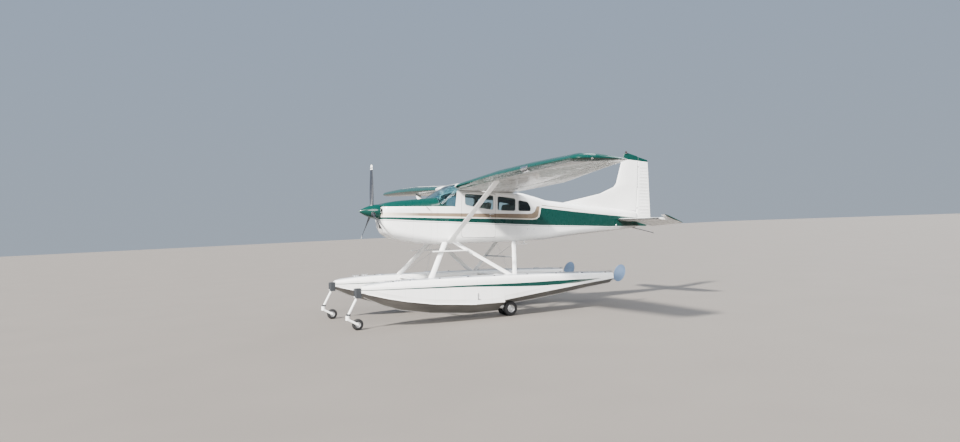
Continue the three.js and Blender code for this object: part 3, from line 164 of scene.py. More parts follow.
# %% A helper for material graphs
class Graph:
    """Adds nodes to one material; a value is a number, a colour, or another node's output."""

    def __init__(self, name, location_ruler=None):
        self.material = bpy.data.materials.new(name)
        self.material.use_nodes = True
        self.tree = self.material.node_tree
        self.shader = self.tree.nodes["Principled BSDF"]
        self.place = self.node("ShaderNodeTexCoord").outputs["Object"]
        if location_ruler is not None:
            mapping = self.node("ShaderNodeMapping", Vector=self.place,
                                Location=location_ruler.translation,
                                Rotation=(ruler_turn(location_ruler), 0, 0))
            mapping.vector_type = "TEXTURE"
            self.place = mapping.outputs["Vector"]
        parts = self.node("ShaderNodeSeparateXYZ", Vector=self.place)
        self.x, self.y, self.z = parts.outputs
        self.bumps = None

    def node(self, kind, **inputs):
        return fed(self.tree.nodes.new(kind), **inputs)

    def math(self, operation, *values):
        made = self.tree.nodes.new("ShaderNodeMath")
        made.operation = operation
        for socket, value in zip(made.inputs, values):
            feed(socket, value)
        return made.outputs[0]

    def add(self, a, b):
        return self.math("ADD", a, b)

    def sub(self, a, b):
        return self.math("SUBTRACT", a, b)

    def mul(self, a, b):
        return self.math("MULTIPLY", a, b)

    def below(self, a, b):
        """1 where a is less than b, otherwise 0."""
        return self.math("LESS_THAN", a, b)

    def above(self, a, b):
        return self.math("GREATER_THAN", a, b)

    def near(self, a, place, reach):
        """1 where a is within reach of place."""
        return self.math("COMPARE", a, place, reach)

    def path(self, along, points):
        """A bent line through (along, value) points, held level beyond its ends."""
        total = points[0][1]
        for (a0, b0), (a1, b1) in zip(points, points[1:]):
            step = self.tree.nodes.new("ShaderNodeMapRange")
            step.clamp = True
            for socket, value in zip(step.inputs, (along, a0, a1, 0.0, b1 - b0)):
                feed(socket, value)
            total = self.add(step.outputs[0], total)
        return total

    def blend(self, share, under, over):
        """Colour `over` laid on colour `under` where share is 1."""
        mix = self.tree.nodes.new("ShaderNodeMix")
        mix.data_type = "RGBA"
        feed(mix.inputs[0], share)
        feed(mix.inputs[6], under)
        feed(mix.inputs[7], over)
        return mix.outputs[2]

    def scaled(self, colour, share):
        """A colour made darker or lighter by a share."""
        made = self.tree.nodes.new("ShaderNodeVectorMath")
        made.operation = "SCALE"
        plain = isinstance(colour, tuple)
        feed(made.inputs[0], colour[:3] if plain else colour)
        feed(made.inputs[3], share)
        return made.outputs[0]

    def noise(self, scale, detail=3.0, roughness=0.5, stretch=None):
        place = self.place
        if stretch:
            place = self.node("ShaderNodeMapping", Vector=place, Scale=stretch).outputs["Vector"]
        return self.node("ShaderNodeTexNoise", Vector=place, Scale=scale, Detail=detail,
                         Roughness=roughness).outputs["Fac"]

    def spread(self, value, low, high):
        """A 0 to 1 value stretched to run from low to high."""
        return self.path(value, [(0.3, low), (0.7, high)])

    def bump(self, height, distance, strength=1.0):
        below = {} if self.bumps is None else {"Normal": self.bumps}
        made = self.node("ShaderNodeBump", Height=height, Distance=distance, Strength=strength,
                         **below)
        self.bumps = made.outputs["Normal"]

    def finish(self, colour, roughness, metallic=0.0, **sockets):
        fed(self.shader, Base_Color=colour, Roughness=roughness, Metallic=metallic, **sockets)
        if self.bumps is not None:
            fed(self.shader, Normal=self.bumps)
        return self.material


# %% [markdown]
# Studio: a pale floor that runs to the horizon, a pale sky for the paint to reflect, and three
# suns. The key light stands high ahead of the nose, as the sun did in the photograph. A soft
# one fills from the camera's side, and a faint cool one comes from behind.

# %% Studio
FLOOR_SIZE = 300.0
FLOOR_COLOUR = (0.135, 0.12, 0.105, 1)
SKY_STRENGTH = 0.85
SKY_LOW = (0.46, 0.54, 0.64, 1)
SKY_HIGH = (0.34, 0.5, 0.78, 1)
SUNS = [   # name, heading (0 is ahead, 90 to port), height, strength, spread, colour
    ("key_light", 24, 41, 17.0, 5, (1.0, 0.97, 0.92)),
    ("side_light", 78, 27, 5.0, 35, (1.0, 0.98, 0.96)),
    ("back_light", 205, 32, 2.2, 45, (0.9, 0.95, 1.0)),
]

graph = Graph("floor_pale")
tone = graph.spread(graph.noise(0.6), 0.97, 1.03)
half = FLOOR_SIZE / 2
corners = [(-half, -half, 0), (half, -half, 0), (half, half, 0), (-half, half, 0)]
floor_mesh = bpy.data.meshes.new("floor")
floor_mesh.from_pydata(corners, [], [(0, 1, 2, 3)])
floor_mesh.materials.append(graph.finish(graph.scaled(FLOOR_COLOUR, tone), 0.85))
new_object("floor", floor_mesh)

world = bpy.data.worlds.new("studio")
world.use_nodes = True
sky = world.node_tree
facing = sky.nodes.new("ShaderNodeTexCoord").outputs["Generated"]
parts = fed(sky.nodes.new("ShaderNodeSeparateXYZ"), Vector=facing)
ramp = fed(sky.nodes.new("ShaderNodeValToRGB"), Fac=parts.outputs["Z"])
ramp.color_ramp.elements[0].color = SKY_LOW
ramp.color_ramp.elements[1].color = SKY_HIGH
fed(sky.nodes["Background"], Color=ramp.outputs[0], Strength=SKY_STRENGTH)
bpy.context.scene.world = world

for name, heading, height, strength, spread, colour in SUNS:
    data = bpy.data.lights.new(name, "SUN")
    data.energy = strength
    data.angle = math.radians(spread)
    data.color = colour
    turn, rise = math.radians(heading), math.radians(height)
    toward = Vector((math.sin(turn) * math.cos(rise), -math.cos(turn) * math.cos(rise),
                     math.sin(rise)))
    new_object(name, data).rotation_euler = toward.to_track_quat("Z", "Y").to_euler()
print("floor", FLOOR_SIZE, "m across,", len(SUNS), "lights")

# %% [markdown]
# Paint. The aeroplane is sprayed white, with a green deck over the nose, a tan stripe along the
# side that turns up behind the windows, and a green band under it that fills the tail. The
# stripes follow the airframe, so they are drawn on its ruler: each edge is a bent line of
# height against station, and the paint changes where the surface crosses it.

# %% Colours and a finish of sprayed paint
WHITE = (0.84, 0.84, 0.825, 1)
GREEN = (0.0003, 0.034, 0.0265, 1)
TAN = (0.2, 0.15, 0.105, 1)
CREAM = (0.72, 0.66, 0.55, 1)
# the walkway's non-skid grey, with a blue tint that is painted shade
WALKWAY_GREY_AND_SHADE = (0.5, 0.52, 0.545, 1)
# the floats' grey bottom paint, made darker as painted shade
HULL_GREY_AND_SHADE = (0.115, 0.112, 0.108, 1)
PIN_GREY = (0.2, 0.21, 0.22, 1)
# painted shade: a darker grey that stands for the shade under the wing
UNDERSIDE_SHADE = (0.45, 0.45, 0.445, 1)


def sprayed(graph, colour, roughness=0.27):
    """Paint on thin metal: slight waves of the sheet, a little orange peel, and faint grime."""
    grime = graph.spread(graph.noise(2.3, detail=5.0), 0.955, 1.015)
    tone = graph.scaled(colour, grime)
    graph.bump(graph.noise(1.6, detail=1.0), 0.003, 0.3)
    graph.bump(graph.noise(260.0, detail=1.0), 0.0002, 0.04)
    rough = graph.spread(graph.noise(7.0, detail=4.0), roughness - 0.05, roughness + 0.08)
    return graph.finish(tone, rough, Specular_IOR_Level=0.25, Coat_Weight=0.3, Coat_Roughness=0.06)


def seam(graph, along, places, width=0.0016):
    """0 on the panel seams at these places along an axis, 1 elsewhere."""
    open_skin = 1.0
    for place in places:
        hit = graph.near(along, place, width)
        open_skin = graph.mul(open_skin, graph.sub(1.0, hit))
    return open_skin


def seamed(g, colour, skin, dark, strength=0.4):
    """A colour whose seams are sunk a little and darkened to a share."""
    g.bump(skin, 0.001, strength)
    return g.scaled(colour, g.path(skin, [(0.0, dark), (1.0, 1.0)]))


# %% Fuselage paint
def fuselage_paint():
    g = Graph("livery_paint", AIR)
    y, z = g.y, g.z

    def strip(low, high):
        """1 between two heights, otherwise 0."""
        return g.mul(g.below(z, high), g.above(z, low))

    # the green deck over the nose and up to the windshield
    deck_edge = g.path(y, [(0.42, 0.1), (2.06, 0.142)])
    on_deck = g.mul(g.above(z, deck_edge), g.below(y, g.path(z, [(0.13, 2.075), (0.34, 1.7)])))
    # the tan stripe, cream at the nose, turning up behind the windows
    tan_top = g.path(y, [(0.45, -0.026), (1.22, -0.022), (3.15, 0.004), (3.9, 0.016),
                         (4.02, 0.032), (4.1, 0.08), (4.13, 0.15), (4.15, 0.205)])
    tan_foot = g.path(y, [(0.45, -0.08), (1.22, -0.085), (3.15, -0.09), (3.98, -0.094),
                          (4.12, -0.08), (4.19, -0.035), (4.215, 0.05), (4.235, 0.205)])
    line_foot = g.path(y, [(0.45, -0.104), (1.22, -0.108), (3.15, -0.108), (4.02, -0.112),
                           (4.155, -0.094), (4.225, -0.04), (4.25, 0.05), (4.27, 0.205)])
    tan_shade = g.blend(g.path(y, [(0.55, 0.0), (1.25, 1.0)]), CREAM, TAN)
    # the green stripe, and the band that fills the tail behind the turn
    band_top = g.path(y, [(0.45, -0.122), (1.22, -0.124), (3.15, -0.115), (4.02, -0.114),
                          (4.16, -0.096), (4.23, -0.04), (4.256, 0.05), (4.276, 0.176),
                          (5.2, 0.112), (6.37, 0.052), (7.3, 0.012)])
    band_foot = g.path(y, [(0.45, -0.168), (1.22, -0.192), (3.15, -0.222), (4.22, -0.238),
                           (6.37, -0.232), (7.3, -0.2)])
    pin_stripe = strip(g.sub(band_foot, 0.029), g.sub(band_foot, 0.018))
    # the thin tan line over the tail band, fading out aft
    over = g.path(y, [(4.26, 0.232), (5.3, 0.168), (6.4, 0.098)])
    fade = g.mul(g.above(y, 4.3), g.path(y, [(4.8, 1.0), (5.9, 0.0)]))
    thin = g.mul(g.near(z, over, 0.009), fade)
    colour = g.blend(strip(band_foot, band_top), WHITE, GREEN)
    colour = g.blend(g.mul(strip(line_foot, tan_foot), g.below(y, 4.275)), colour, CREAM)
    colour = g.blend(g.mul(strip(tan_foot, tan_top), g.below(y, 4.236)), colour, tan_shade)
    colour = g.blend(thin, colour, TAN)
    colour = g.blend(pin_stripe, colour, PIN_GREY)
    colour = g.blend(on_deck, colour, GREEN)
    skin = seam(g, y, (1.1, 1.5, 1.64, 3.6, 4.5, 5.1, 5.6, 6.04, 6.4, 6.74, 7.05))
    return sprayed(g, seamed(g, colour, skin, 0.66, 0.5))


LIVERY = fuselage_paint()
print("fuselage paint:", len(LIVERY.node_tree.nodes), "nodes")

# %% Wing paint
def wing_paint():
    g = Graph("wing_paint", AIR)
    span = g.math("ABSOLUTE", g.x)
    lead = g.path(span, [(2.56, 2.017), (5.25, 2.127)])
    chord = g.path(span, [(2.56, 1.633), (5.25, 1.117)])
    part = g.math("DIVIDE", g.sub(g.y, lead), chord)
    middle = g.path(span, [(0.567, 0.6), (5.44, 0.755)])
    underneath = g.below(g.z, middle)
    edge = g.path(underneath, [(0.0, 0.12), (1.0, 0.075)])
    green = g.mul(g.below(part, edge), g.above(span, 0.64))
    tip = g.above(span, g.path(part, [(0.0, 5.18), (0.25, 5.26), (1.0, 5.36)]))
    # painted shade: below the wing's middle line the white turns to a darker grey
    shaded = g.blend(underneath, WHITE, UNDERSIDE_SHADE)
    colour = g.blend(g.math("MAXIMUM", green, tip), shaded, GREEN)
    skin = seam(g, span, (1.05, 1.6, 2.15, 2.55, 3.1, 3.65, 4.2, 4.75, 5.25), 0.0015)
    skin = g.mul(skin, seam(g, part, (0.12, 0.42, 0.715), 0.0011))
    return sprayed(g, seamed(g, colour, skin, 0.72))


WING_PAINT = wing_paint()
print("wing paint:", len(WING_PAINT.node_tree.nodes), "nodes")

# %% Tail paint
def fin_paint():
    g = Graph("fin_paint", AIR)
    cap = g.above(g.z, g.path(g.y, [(6.95, 1.508), (7.67, 1.474)]))
    foot = g.mul(g.below(g.z, -0.012), g.above(g.y, 7.2))
    return sprayed(g, g.blend(g.math("MAXIMUM", cap, foot), WHITE, GREEN))


def tailplane_paint():
    g = Graph("tailplane_paint", AIR)
    span = g.math("ABSOLUTE", g.x)
    lead = g.path(span, [(0.12, 6.63), (1.48, 6.915)])
    # painted shade: a near-black band along the leading edge stands for the shade under it
    edge_shade = g.mul(g.below(g.sub(g.y, lead), 0.045), g.below(span, 1.46))
    skin = seam(g, span, (0.42, 0.78, 1.14), 0.0015)
    g.bump(skin, 0.001, 0.4)
    colour = g.blend(edge_shade, WHITE, (0.03, 0.032, 0.035, 1))
    tip = g.mul(g.above(span, 1.625), g.above(g.z, g.path(g.y, [(7.0, -0.01), (7.5, -0.16)])))
    return sprayed(g, g.blend(tip, colour, GREEN))


def plain_paint(name, colour, roughness=0.27):
    return sprayed(Graph(name, AIR), colour, roughness)


FIN_PAINT = fin_paint()
TAIL_PAINT = tailplane_paint()
STRUT_PAINT = plain_paint("strut_paint", WHITE)
print("tail and strut paint made")

# %% [markdown]
# The floats are painted too: white sides with a thin green stripe that ends in a point, a grey
# bottom below the chine that is darkened further as painted shade, and a grey non-skid walkway on
# the deck whose blue tint is painted shade.

# %% Float paint
FRAMES = (0.18, 0.54, 0.86, 1.17, 1.5, 1.82, 2.12, 2.44, 3.05, 3.6, 3.95, 4.32, 4.66, 5.02, 5.35)
GRIME = (0.34, 0.33, 0.3, 1)


def float_paint():
    g = Graph("float_hull_paint", CRAFT)
    y, z = g.y, g.z
    across = g.math("ABSOLUTE", g.sub(g.math("ABSOLUTE", g.x), FLOAT_X))
    chine = g.path(y, [(-0.3, 0.735), (-0.16, 0.7), (0.18, 0.61), (0.54, 0.535), (1.17, 0.442),
                       (2.12, 0.375), (2.735, 0.38), (2.745, 0.425), (3.6, 0.525), (4.32, 0.6),
                       (5.02, 0.667), (5.68, 0.723)])
    stripe = g.path(y, [(-0.3, 0.797), (0.54, 0.792), (1.9, 0.772), (2.6, 0.75),
                        (3.1, 0.733), (3.6, 0.722), (4.6, 0.723), (5.3, 0.747)])
    half = g.path(y, [(-0.3, 0.007), (0.54, 0.01), (1.9, 0.02), (2.6, 0.028), (3.1, 0.037),
                      (3.6, 0.046), (4.1, 0.047), (4.6, 0.037), (5.3, 0.0)])
    walk = g.path(y, [(-0.16, 0.115), (0.18, 0.17), (1.17, 0.232), (3.6, 0.226), (5.02, 0.158),
                      (5.68, 0.105)])
    deck = g.path(y, [(-0.16, 0.885), (0.18, 0.915), (1.17, 0.938), (2.74, 0.93), (3.6, 0.917),
                      (4.32, 0.897), (5.02, 0.872), (5.68, 0.844)])
    on_walk = g.mul(g.below(across, walk), g.above(z, deck))
    colour = g.blend(g.near(z, stripe, half), WHITE, GREEN)
    # below the chine: grey bottom paint, darkened as painted shade
    colour = g.blend(g.below(z, chine), colour, HULL_GREY_AND_SHADE)
    # the walkway: non-skid grey with a blue tint of painted shade
    colour = g.blend(on_walk, colour, WALKWAY_GREY_AND_SHADE)
    g.bump(g.mul(g.noise(420.0, detail=2.0), on_walk), 0.0012, 0.5)
    colour = seamed(g, colour, seam(g, y, FRAMES, 0.0015), 0.7)
    streaks = g.spread(g.noise(6.0, detail=6.0, stretch=(1.0, 0.25, 1.0)), 0.0, 0.35)
    wash = g.mul(streaks, g.below(z, g.add(chine, 0.1)))
    return sprayed(g, g.blend(wash, colour, GRIME), 0.32)


FLOAT_PAINT = float_paint()
print("float paint:", len(FLOAT_PAINT.node_tree.nodes), "nodes")

# %% [markdown]
# The other finishes: bare and painted metal, rubber, tinted acrylic, cloth and moulded plastic.
# Each one gets the small variation that the real one shows, at its real scale.

# %% Metals, rubber and plastics
def metal(name, colour, roughness, brushed=(1.0, 1.0, 1.0)):
    g = Graph(name)
    streaks = g.noise(90.0, detail=3.0, stretch=brushed)
    tone = g.scaled(colour, g.spread(streaks, 0.85, 1.08))
    g.bump(streaks, 0.0002, 0.25)
    return g.finish(tone, g.spread(g.noise(14.0), roughness - 0.07, roughness + 0.1), 1.0)


def matte(name, colour, roughness, grain=300.0, depth=0.0005, specular=0.5, ruler_used=None):
    g = Graph(name, ruler_used)
    tone = g.scaled(colour, g.spread(g.noise(5.0, detail=4.0), 0.82, 1.12))
    g.bump(g.noise(grain, detail=2.0), depth, 0.4)
    return g.finish(tone, g.spread(g.noise(20.0), roughness - 0.06, roughness + 0.06),
                    Specular_IOR_Level=specular)


RUBBER = matte("tyre_rubber", (0.007, 0.007, 0.008, 1), 0.78, 180.0)
BUMPER_RUBBER = matte("bow_bumper_rubber", (0.015, 0.018, 0.022, 1), 0.62, 220.0)
HUB_METAL = metal("hub_metal", (0.62, 0.62, 0.62, 1), 0.38)
STEEL = metal("dark_steel", (0.22, 0.22, 0.23, 1), 0.42)
CAST_METAL = metal("cast_fittings", (0.5, 0.51, 0.52, 1), 0.5)
RUDDER_BLUE = matte("water_rudder_paint", (0.105, 0.165, 0.265, 1), 0.42, 260.0, 0.0003)
PANEL_BLACK = matte("panel_plastic", (0.02, 0.02, 0.022, 1), 0.62, 500.0)
TRIM_GREY = matte("cabin_trim", (0.3, 0.29, 0.27, 1), 0.8, 600.0, 0.0008)

# %% Propeller blade paint: dark grey, with a white tip and a dark line inside it
def blade_paint():
    g = Graph("blade_paint", AIR)
    radius = g.math("SQRT", g.add(g.mul(g.x, g.x), g.mul(g.z, g.z)))
    colour = g.blend(g.above(radius, 0.93), (0.011, 0.014, 0.021, 1), (0.78, 0.78, 0.76, 1))
    colour = g.blend(g.near(radius, 0.965, 0.011), colour, (0.04, 0.04, 0.045, 1))
    chips = g.spread(g.noise(55.0, detail=6.0, roughness=0.7), 0.0, 0.5)
    g.bump(g.noise(240.0), 0.0002, 0.2)
    colour = g.blend(g.mul(chips, 0.2), colour, (0.1, 0.1, 0.11, 1))
    return g.finish(colour, g.spread(g.noise(18.0), 0.38, 0.5))


BLADE_PAINT = blade_paint()

# %% Tinted acrylic
def acrylic(name, tint, roughness=0.03):
    g = Graph(name)
    g.bump(g.noise(3.0, detail=1.0), 0.004, 0.25)
    wiped = g.spread(g.noise(9.0, detail=5.0), roughness, roughness + 0.05)
    haze = g.spread(g.noise(4.0, detail=4.0), 0.93, 1.0)
    return g.finish(g.scaled(tint, haze), wiped, Transmission_Weight=1.0, IOR=1.32,
                    Specular_IOR_Level=0.8)


WINDSHIELD_GLASS = acrylic("windshield_acrylic", (0.4, 0.68, 0.74))
SIDE_GLASS = acrylic("window_acrylic", (0.82, 0.95, 0.95))
print("materials so far:", len(bpy.data.materials))

# %% [markdown]
# Most solids of the model already have the right shape, with flat facets. A smooth copy of one
# joins its loose triangles, merges those that lie in one plane, and shades it smooth between
# sharp edges. The copy then stands for the CAD node and rides on the same body. On its way a copy
# can be reshaped a little: the wing's nose gets a fuller cuff, and the fin a softer root and a
# rounder tip. Things on the wing follow its section, so that is written once as a rule: a camber
# line, a half thickness either side of it, and a twist that grows toward the tip.

# %% Smooth copies of CAD nodes
bodies = frame["record"]["behaviour"]["bodies"]
node_body = {name: body for body, names in bodies.items() for name in names}


def settle(mesh, angle):
    """Shade smooth, with edges sharper than the angle kept crisp."""
    for face in mesh.polygons:
        face.use_smooth = True
    bm = bmesh.new()
    bm.from_mesh(mesh)
    limit = math.radians(angle)
    for edge in bm.edges:
        edge.smooth = len(edge.link_faces) == 2 and edge.calc_face_angle(0.0) < limit
    bm.to_mesh(mesh)
    bm.free()


def weight_normals(piece):
    modifier = piece.modifiers.new("weighted_normals", "WEIGHTED_NORMAL")
    modifier.keep_sharp = True
    modifier.weight = 60


def new_piece(name, mesh, body, material=None):
    piece = new_object(name, mesh)
    if material is not None:
        mesh.materials.clear()
        mesh.materials.append(material)
    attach(piece, body)
    return piece


def smooth_copy(name, material, angle, reshape=None):
    mesh = nodes[name].data.copy()
    mesh.materials.clear()
    bm = bmesh.new()
    bm.from_mesh(mesh)
    if reshape:
        to_air = AIR.inverted()
        for vert in bm.verts:
            vert.co = AIR @ reshape(to_air @ vert.co)
    for layer in list(bm.loops.layers.uv.values()):
        bm.loops.layers.uv.remove(layer)
    bmesh.ops.remove_doubles(bm, verts=bm.verts, dist=1e-5)
    bmesh.ops.dissolve_limit(bm, angle_limit=math.radians(0.4), verts=bm.verts, edges=bm.edges)
    bm.to_mesh(mesh)
    bm.free()
    if mesh.has_custom_normals:
        mesh.attributes.remove(mesh.attributes["custom_normal"])
    settle(mesh, angle)
    piece = new_piece(f"{name}_skin", mesh, node_body[name], material)
    weight_normals(piece)
    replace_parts(piece, name)
    return piece


def along(points, at):
    """The value at a place on a broken line of (place, value) pairs."""
    if at <= points[0][0]:
        return points[0][1]
    for (a, va), (b, vb) in zip(points, points[1:]):
        if at <= b:
            return va + (vb - va) * (at - a) / (b - a)
    return points[-1][1]


CUFF_OUT = [(0.62, 0.0), (0.78, 0.05), (4.9, 0.05), (5.25, 0.022), (5.44, 0.0)]
CUFF_ABOVE = [(0.0, 0.45), (0.03, 0.85), (0.08, 1.0), (0.16, 1.0), (0.26, 0.72), (0.36, 0.3),
              (0.46, 0.0)]
CUFF_BELOW = [(0.0, 0.45), (0.02, 0.22), (0.06, 0.0)]
TAPER_START, TAPER_RUN = 2.56, 2.69
DIHEDRAL = math.tan(math.radians(1.83))


def cuff(span, part, face):
    """How far the leading edge cuff lifts the skin of the wing."""
    return along(CUFF_OUT, span) * along(CUFF_ABOVE if face > 0 else CUFF_BELOW, part)


def wing_numbers(span):
    """Lead, chord, twist and level of the wing at a distance from the middle."""
    out = max(0.0, span - TAPER_START)
    return (2.017 + out * 0.11 / TAPER_RUN, 1.633 - out * 0.516 / TAPER_RUN,
            math.radians(1.5 - 3.0 * out / TAPER_RUN), 0.579 + (span - 0.567) * DIHEDRAL)


def wing_at(x, part, face, off=0.0):
    """A point of the wing's skin at span x (port positive), part of the chord and face 1 or -1."""
    span = abs(x)
    lead, chord, twist, level = wing_numbers(span)
    half = 0.6 * (0.2969 * math.sqrt(part) - 0.126 * part - 0.3516 * part**2 + 0.2843 * part**3
                  - 0.1015 * part**4) + 0.0015 * part
    camber = (0.125 * (0.8 * part - part**2) if part < 0.4
              else 0.02 / 0.36 * (0.2 + 0.8 * part - part**2))
    back, up = part * chord, (camber + face * half) * chord + face * off + cuff(span, part, face)
    return air(x, lead + back * math.cos(twist) + up * math.sin(twist),
               level - back * math.sin(twist) + up * math.cos(twist))


def cuffed(place):
    """A point of the wing, lifted by the cuff."""
    span = abs(place.x)
    lead, chord, twist, level = wing_numbers(span)
    part = min(max((place.y - lead) / chord, 0.0), 1.0)
    face = 1 if place.z > level - part * chord * math.sin(twist) + 0.02 * chord * part else -1
    return place + Vector((0, 0, cuff(span, part, face)))


def fuller_fin(place):
    """The dorsal line sags a little ahead of the fin, and the tip rises toward the rudder."""
    sag = along([(5.16, 0.0), (6.23, 0.095), (6.64, 0.036), (6.72, 0.0)], place.y)
    edge = along([(5.16, 0.34), (6.23, 0.69), (6.64, 0.812), (6.72, 0.88)], place.y)
    low = min(max((place.z - 0.2) / (edge - 0.2), 0.0), 1.0) if place.y < 6.73 else 0.0
    rise = along([(7.01, 0.0), (7.37, 0.036)], place.y) * min(max((place.z - 1.3) / 0.25, 0.0), 1.0)
    return place + Vector((0, 0, rise - sag * low))


STRUT_NAMES = ("front_strut", "diagonal_strut", "rear_strut", "wing_strut", "main_leg", "nose_fork")
ON_BOTH_SIDES = [(name, STRUT_PAINT, 35) for name in STRUT_NAMES] + [
    ("float", FLOAT_PAINT, 24), ("wing", WING_PAINT, 30), ("flap", WING_PAINT, 30),
    ("aileron", WING_PAINT, 30), ("water_rudder_post", CAST_METAL, 35),
    ("water_rudder_blade", RUDDER_BLUE, 35), ("door_glass", SIDE_GLASS, 24),
    ("rear_glass", SIDE_GLASS, 24), ("quarter_glass", SIDE_GLASS, 24),
]
IN_THE_MIDDLE = [
    ("windshield", WINDSHIELD_GLASS, 40), ("wing_centre", WING_PAINT, 30),
    ("stabiliser", TAIL_PAINT, 30), ("elevator", TAIL_PAINT, 30), ("fin", FIN_PAINT, 30),
    ("tail_rod", STEEL, 35), ("spreader_front", STRUT_PAINT, 35),
    ("spreader_rear", STRUT_PAINT, 35), ("rear_brace_bar", CAST_METAL, 35),
    ("engine_block", CAST_METAL, 35), ("instrument_panel", PANEL_BLACK, 35),
]
RESHAPED = {"wing_port": cuffed, "wing_starboard": cuffed, "fin": fuller_fin}
copies = [(f"{name}_{side}", *look) for side in SIDES for name, *look in ON_BOTH_SIDES]
copies += IN_THE_MIDDLE
for name, material, angle in copies:
    smooth_copy(name, material, angle, RESHAPED.get(name))
print("smooth copies:", len(copies))

# %% [markdown]
# The fuselage skins show most, so they are drawn again, finer. The same sections that shape the
# solids run through a smooth curve, a fine mesh is lofted over them inside and out, and doors and
# windows are cut with Boolean modifiers. The lofts give clean quads, so the shading stays smooth.

# %% Fuselage sections: y, half width, top, bottom, upper and lower corner radius
COWL = [
    (0.47, 0.285, 0.135, -0.33, 0.15, 0.15),
    (0.49, 0.325, 0.165, -0.375, 0.17, 0.17),
    (0.56, 0.372, 0.195, -0.475, 0.19, 0.18),
    (0.76, 0.428, 0.236, -0.578, 0.205, 0.18),
    (1.1, 0.475, 0.275, -0.645, 0.215, 0.175),
    (1.5, 0.515, 0.318, -0.69, 0.22, 0.165),
]
CABIN = [
    (1.5, 0.515, 0.318, -0.69, 0.22, 0.165),
    (1.64, 0.532, 0.336, -0.703, 0.215, 0.16),
    (2.02, 0.558, 0.5, -0.69, 0.06, 0.15),
    (3.04, 0.56, 0.5, -0.645, 0.06, 0.15),
    (3.65, 0.528, 0.5, -0.617, 0.08, 0.15),
    (4.05, 0.48, 0.45, -0.6, 0.13, 0.15),
    (4.5, 0.425, 0.362, -0.57, 0.19, 0.16),
]
TAIL = [
    (4.5, 0.425, 0.362, -0.57, 0.19, 0.16),
    (5.1, 0.355, 0.322, -0.49, 0.2, 0.16),
    (6.04, 0.24, 0.262, -0.385, 0.18, 0.15),
    (6.74, 0.15, 0.215, -0.312, 0.12, 0.12),
    (7.292, 0.068, 0.176, -0.238, 0.062, 0.062),
]


def between(sections, y):
    """The section at a station, on a smooth curve that never overshoots its neighbours."""
    for low, high in zip(sections, sections[1:]):
        if y <= high[0] or high is sections[-1]:
            break
    k = sections.index(low)
    span = high[0] - low[0]
    t = min(max((y - low[0]) / span, 0.0), 1.0)
    found = []
    for column in range(1, 6):
        here = (high[column] - low[column]) / span
        slopes = []
        for a, b in ((k - 1, k), (k + 1, k + 2)):
            if 0 <= a and b < len(sections):
                other = (sections[b][column] - sections[a][column]) / (sections[b][0] - sections[a][0])
                same = other * here > 0
                slopes.append(2 * here * other / (here + other) if same else 0.0)
            else:
                slopes.append(here)
        found.append((2 * t**3 - 3 * t**2 + 1) * low[column] + (t**3 - 2 * t**2 + t) * span * slopes[0]
                     + (3 * t**2 - 2 * t**3) * high[column] + (t**3 - t**2) * span * slopes[1])
    return found


def section_ring(sections, y, inset, arc=12, sides=8):
    """Points round one section: four corner arcs with straight runs between them."""
    half, top, bottom, upper, lower = between(sections, y)
    points = []
    corners = ((1, 1, upper, 0), (-1, 1, upper, 90), (-1, -1, lower, 180), (1, -1, lower, 270))
    arcs = []
    for sx, sz, radius, start in corners:
        inner = max(radius - inset, 0.002)
        pull = max(0.0, inset - radius + 0.002)
        cx = sx * (half - radius - pull)
        cz = top - radius - pull if sz > 0 else bottom + radius + pull
        arcs.append([(cx + inner * math.cos(math.radians(start + 90 * k / arc)),
                      cz + inner * math.sin(math.radians(start + 90 * k / arc))) for k in range(arc + 1)])
    for k, run in enumerate(arcs):
        points += run
        (ax, az), (bx, bz) = run[-1], arcs[(k + 1) % 4][0]
        points += [(ax + (bx - ax) * s / sides, az + (bz - az) * s / sides) for s in range(1, sides)]
    return [air(x, y, z) for x, z in points]


def closed(name, verts, faces):
    """A mesh whose faces all look outward."""
    mesh = bpy.data.meshes.new(name)
    mesh.from_pydata(verts, [], faces)
    bm = bmesh.new()
    bm.from_mesh(mesh)
    bmesh.ops.recalc_face_normals(bm, faces=bm.faces)
    bm.to_mesh(mesh)
    bm.free()
    return mesh


def lofted(name, rings):
    """A closed mesh over rings of equal length, capped flat at both ends."""
    count = len(rings[0])
    verts = [point for ring in rings for point in ring]
    faces = [tuple(range(count - 1, -1, -1)), tuple(range(len(verts) - count, len(verts)))]
    for r in range(len(rings) - 1):
        for k in range(count):
            a, b = r * count + k, r * count + (k + 1) % count
            faces.append((a, b, b + count, a + count))
    return closed(name, verts, faces)


def fuselage_solid(name, sections, y0, y1, inset=0.0, step=0.045):
    rows = max(2, round((y1 - y0) / step))
    stations = [y0 + (y1 - y0) * k / rows for k in range(rows + 1)]
    return lofted(name, [section_ring(sections, y, inset) for y in stations])


def evaluated(piece):
    """A piece's mesh as its modifiers make it."""
    depsgraph = bpy.context.evaluated_depsgraph_get()
    return bpy.data.meshes.new_from_object(piece.evaluated_get(depsgraph))


def boolean(mesh, other, operation):
    """mesh cut by, joined with or kept inside another mesh."""
    first, second = new_object("first", mesh), new_object("second", other)
    modifier = first.modifiers.new("boolean", "BOOLEAN")
    modifier.object = second
    modifier.operation = operation
    modifier.solver = "EXACT"
    made = evaluated(first)
    made.name = mesh.name
    for piece in (first, second):
        bpy.data.objects.remove(piece)
    return made


def cut(mesh, other):
    return boolean(mesh, other, "DIFFERENCE")


def keep(mesh, other):
    return boolean(mesh, other, "INTERSECT")


def join(mesh, other):
    return boolean(mesh, other, "UNION")


# %% Openings as side views: y and z of their corners, rounded
def rounded(corners, radius, steps=8):
    points = []
    count = len(corners)
    for k in range(count):
        corner = Vector(corners[k])
        back = Vector(corners[k - 1]) - corner
        on = Vector(corners[(k + 1) % count]) - corner
        reach = min(radius, back.length / 2, on.length / 2)
        start, end = corner + back.normalized() * reach, corner + on.normalized() * reach
        for s in range(steps + 1):
            t = s / steps
            points.append(tuple(start.lerp(corner, t).lerp(corner.lerp(end, t), t)))
    return points


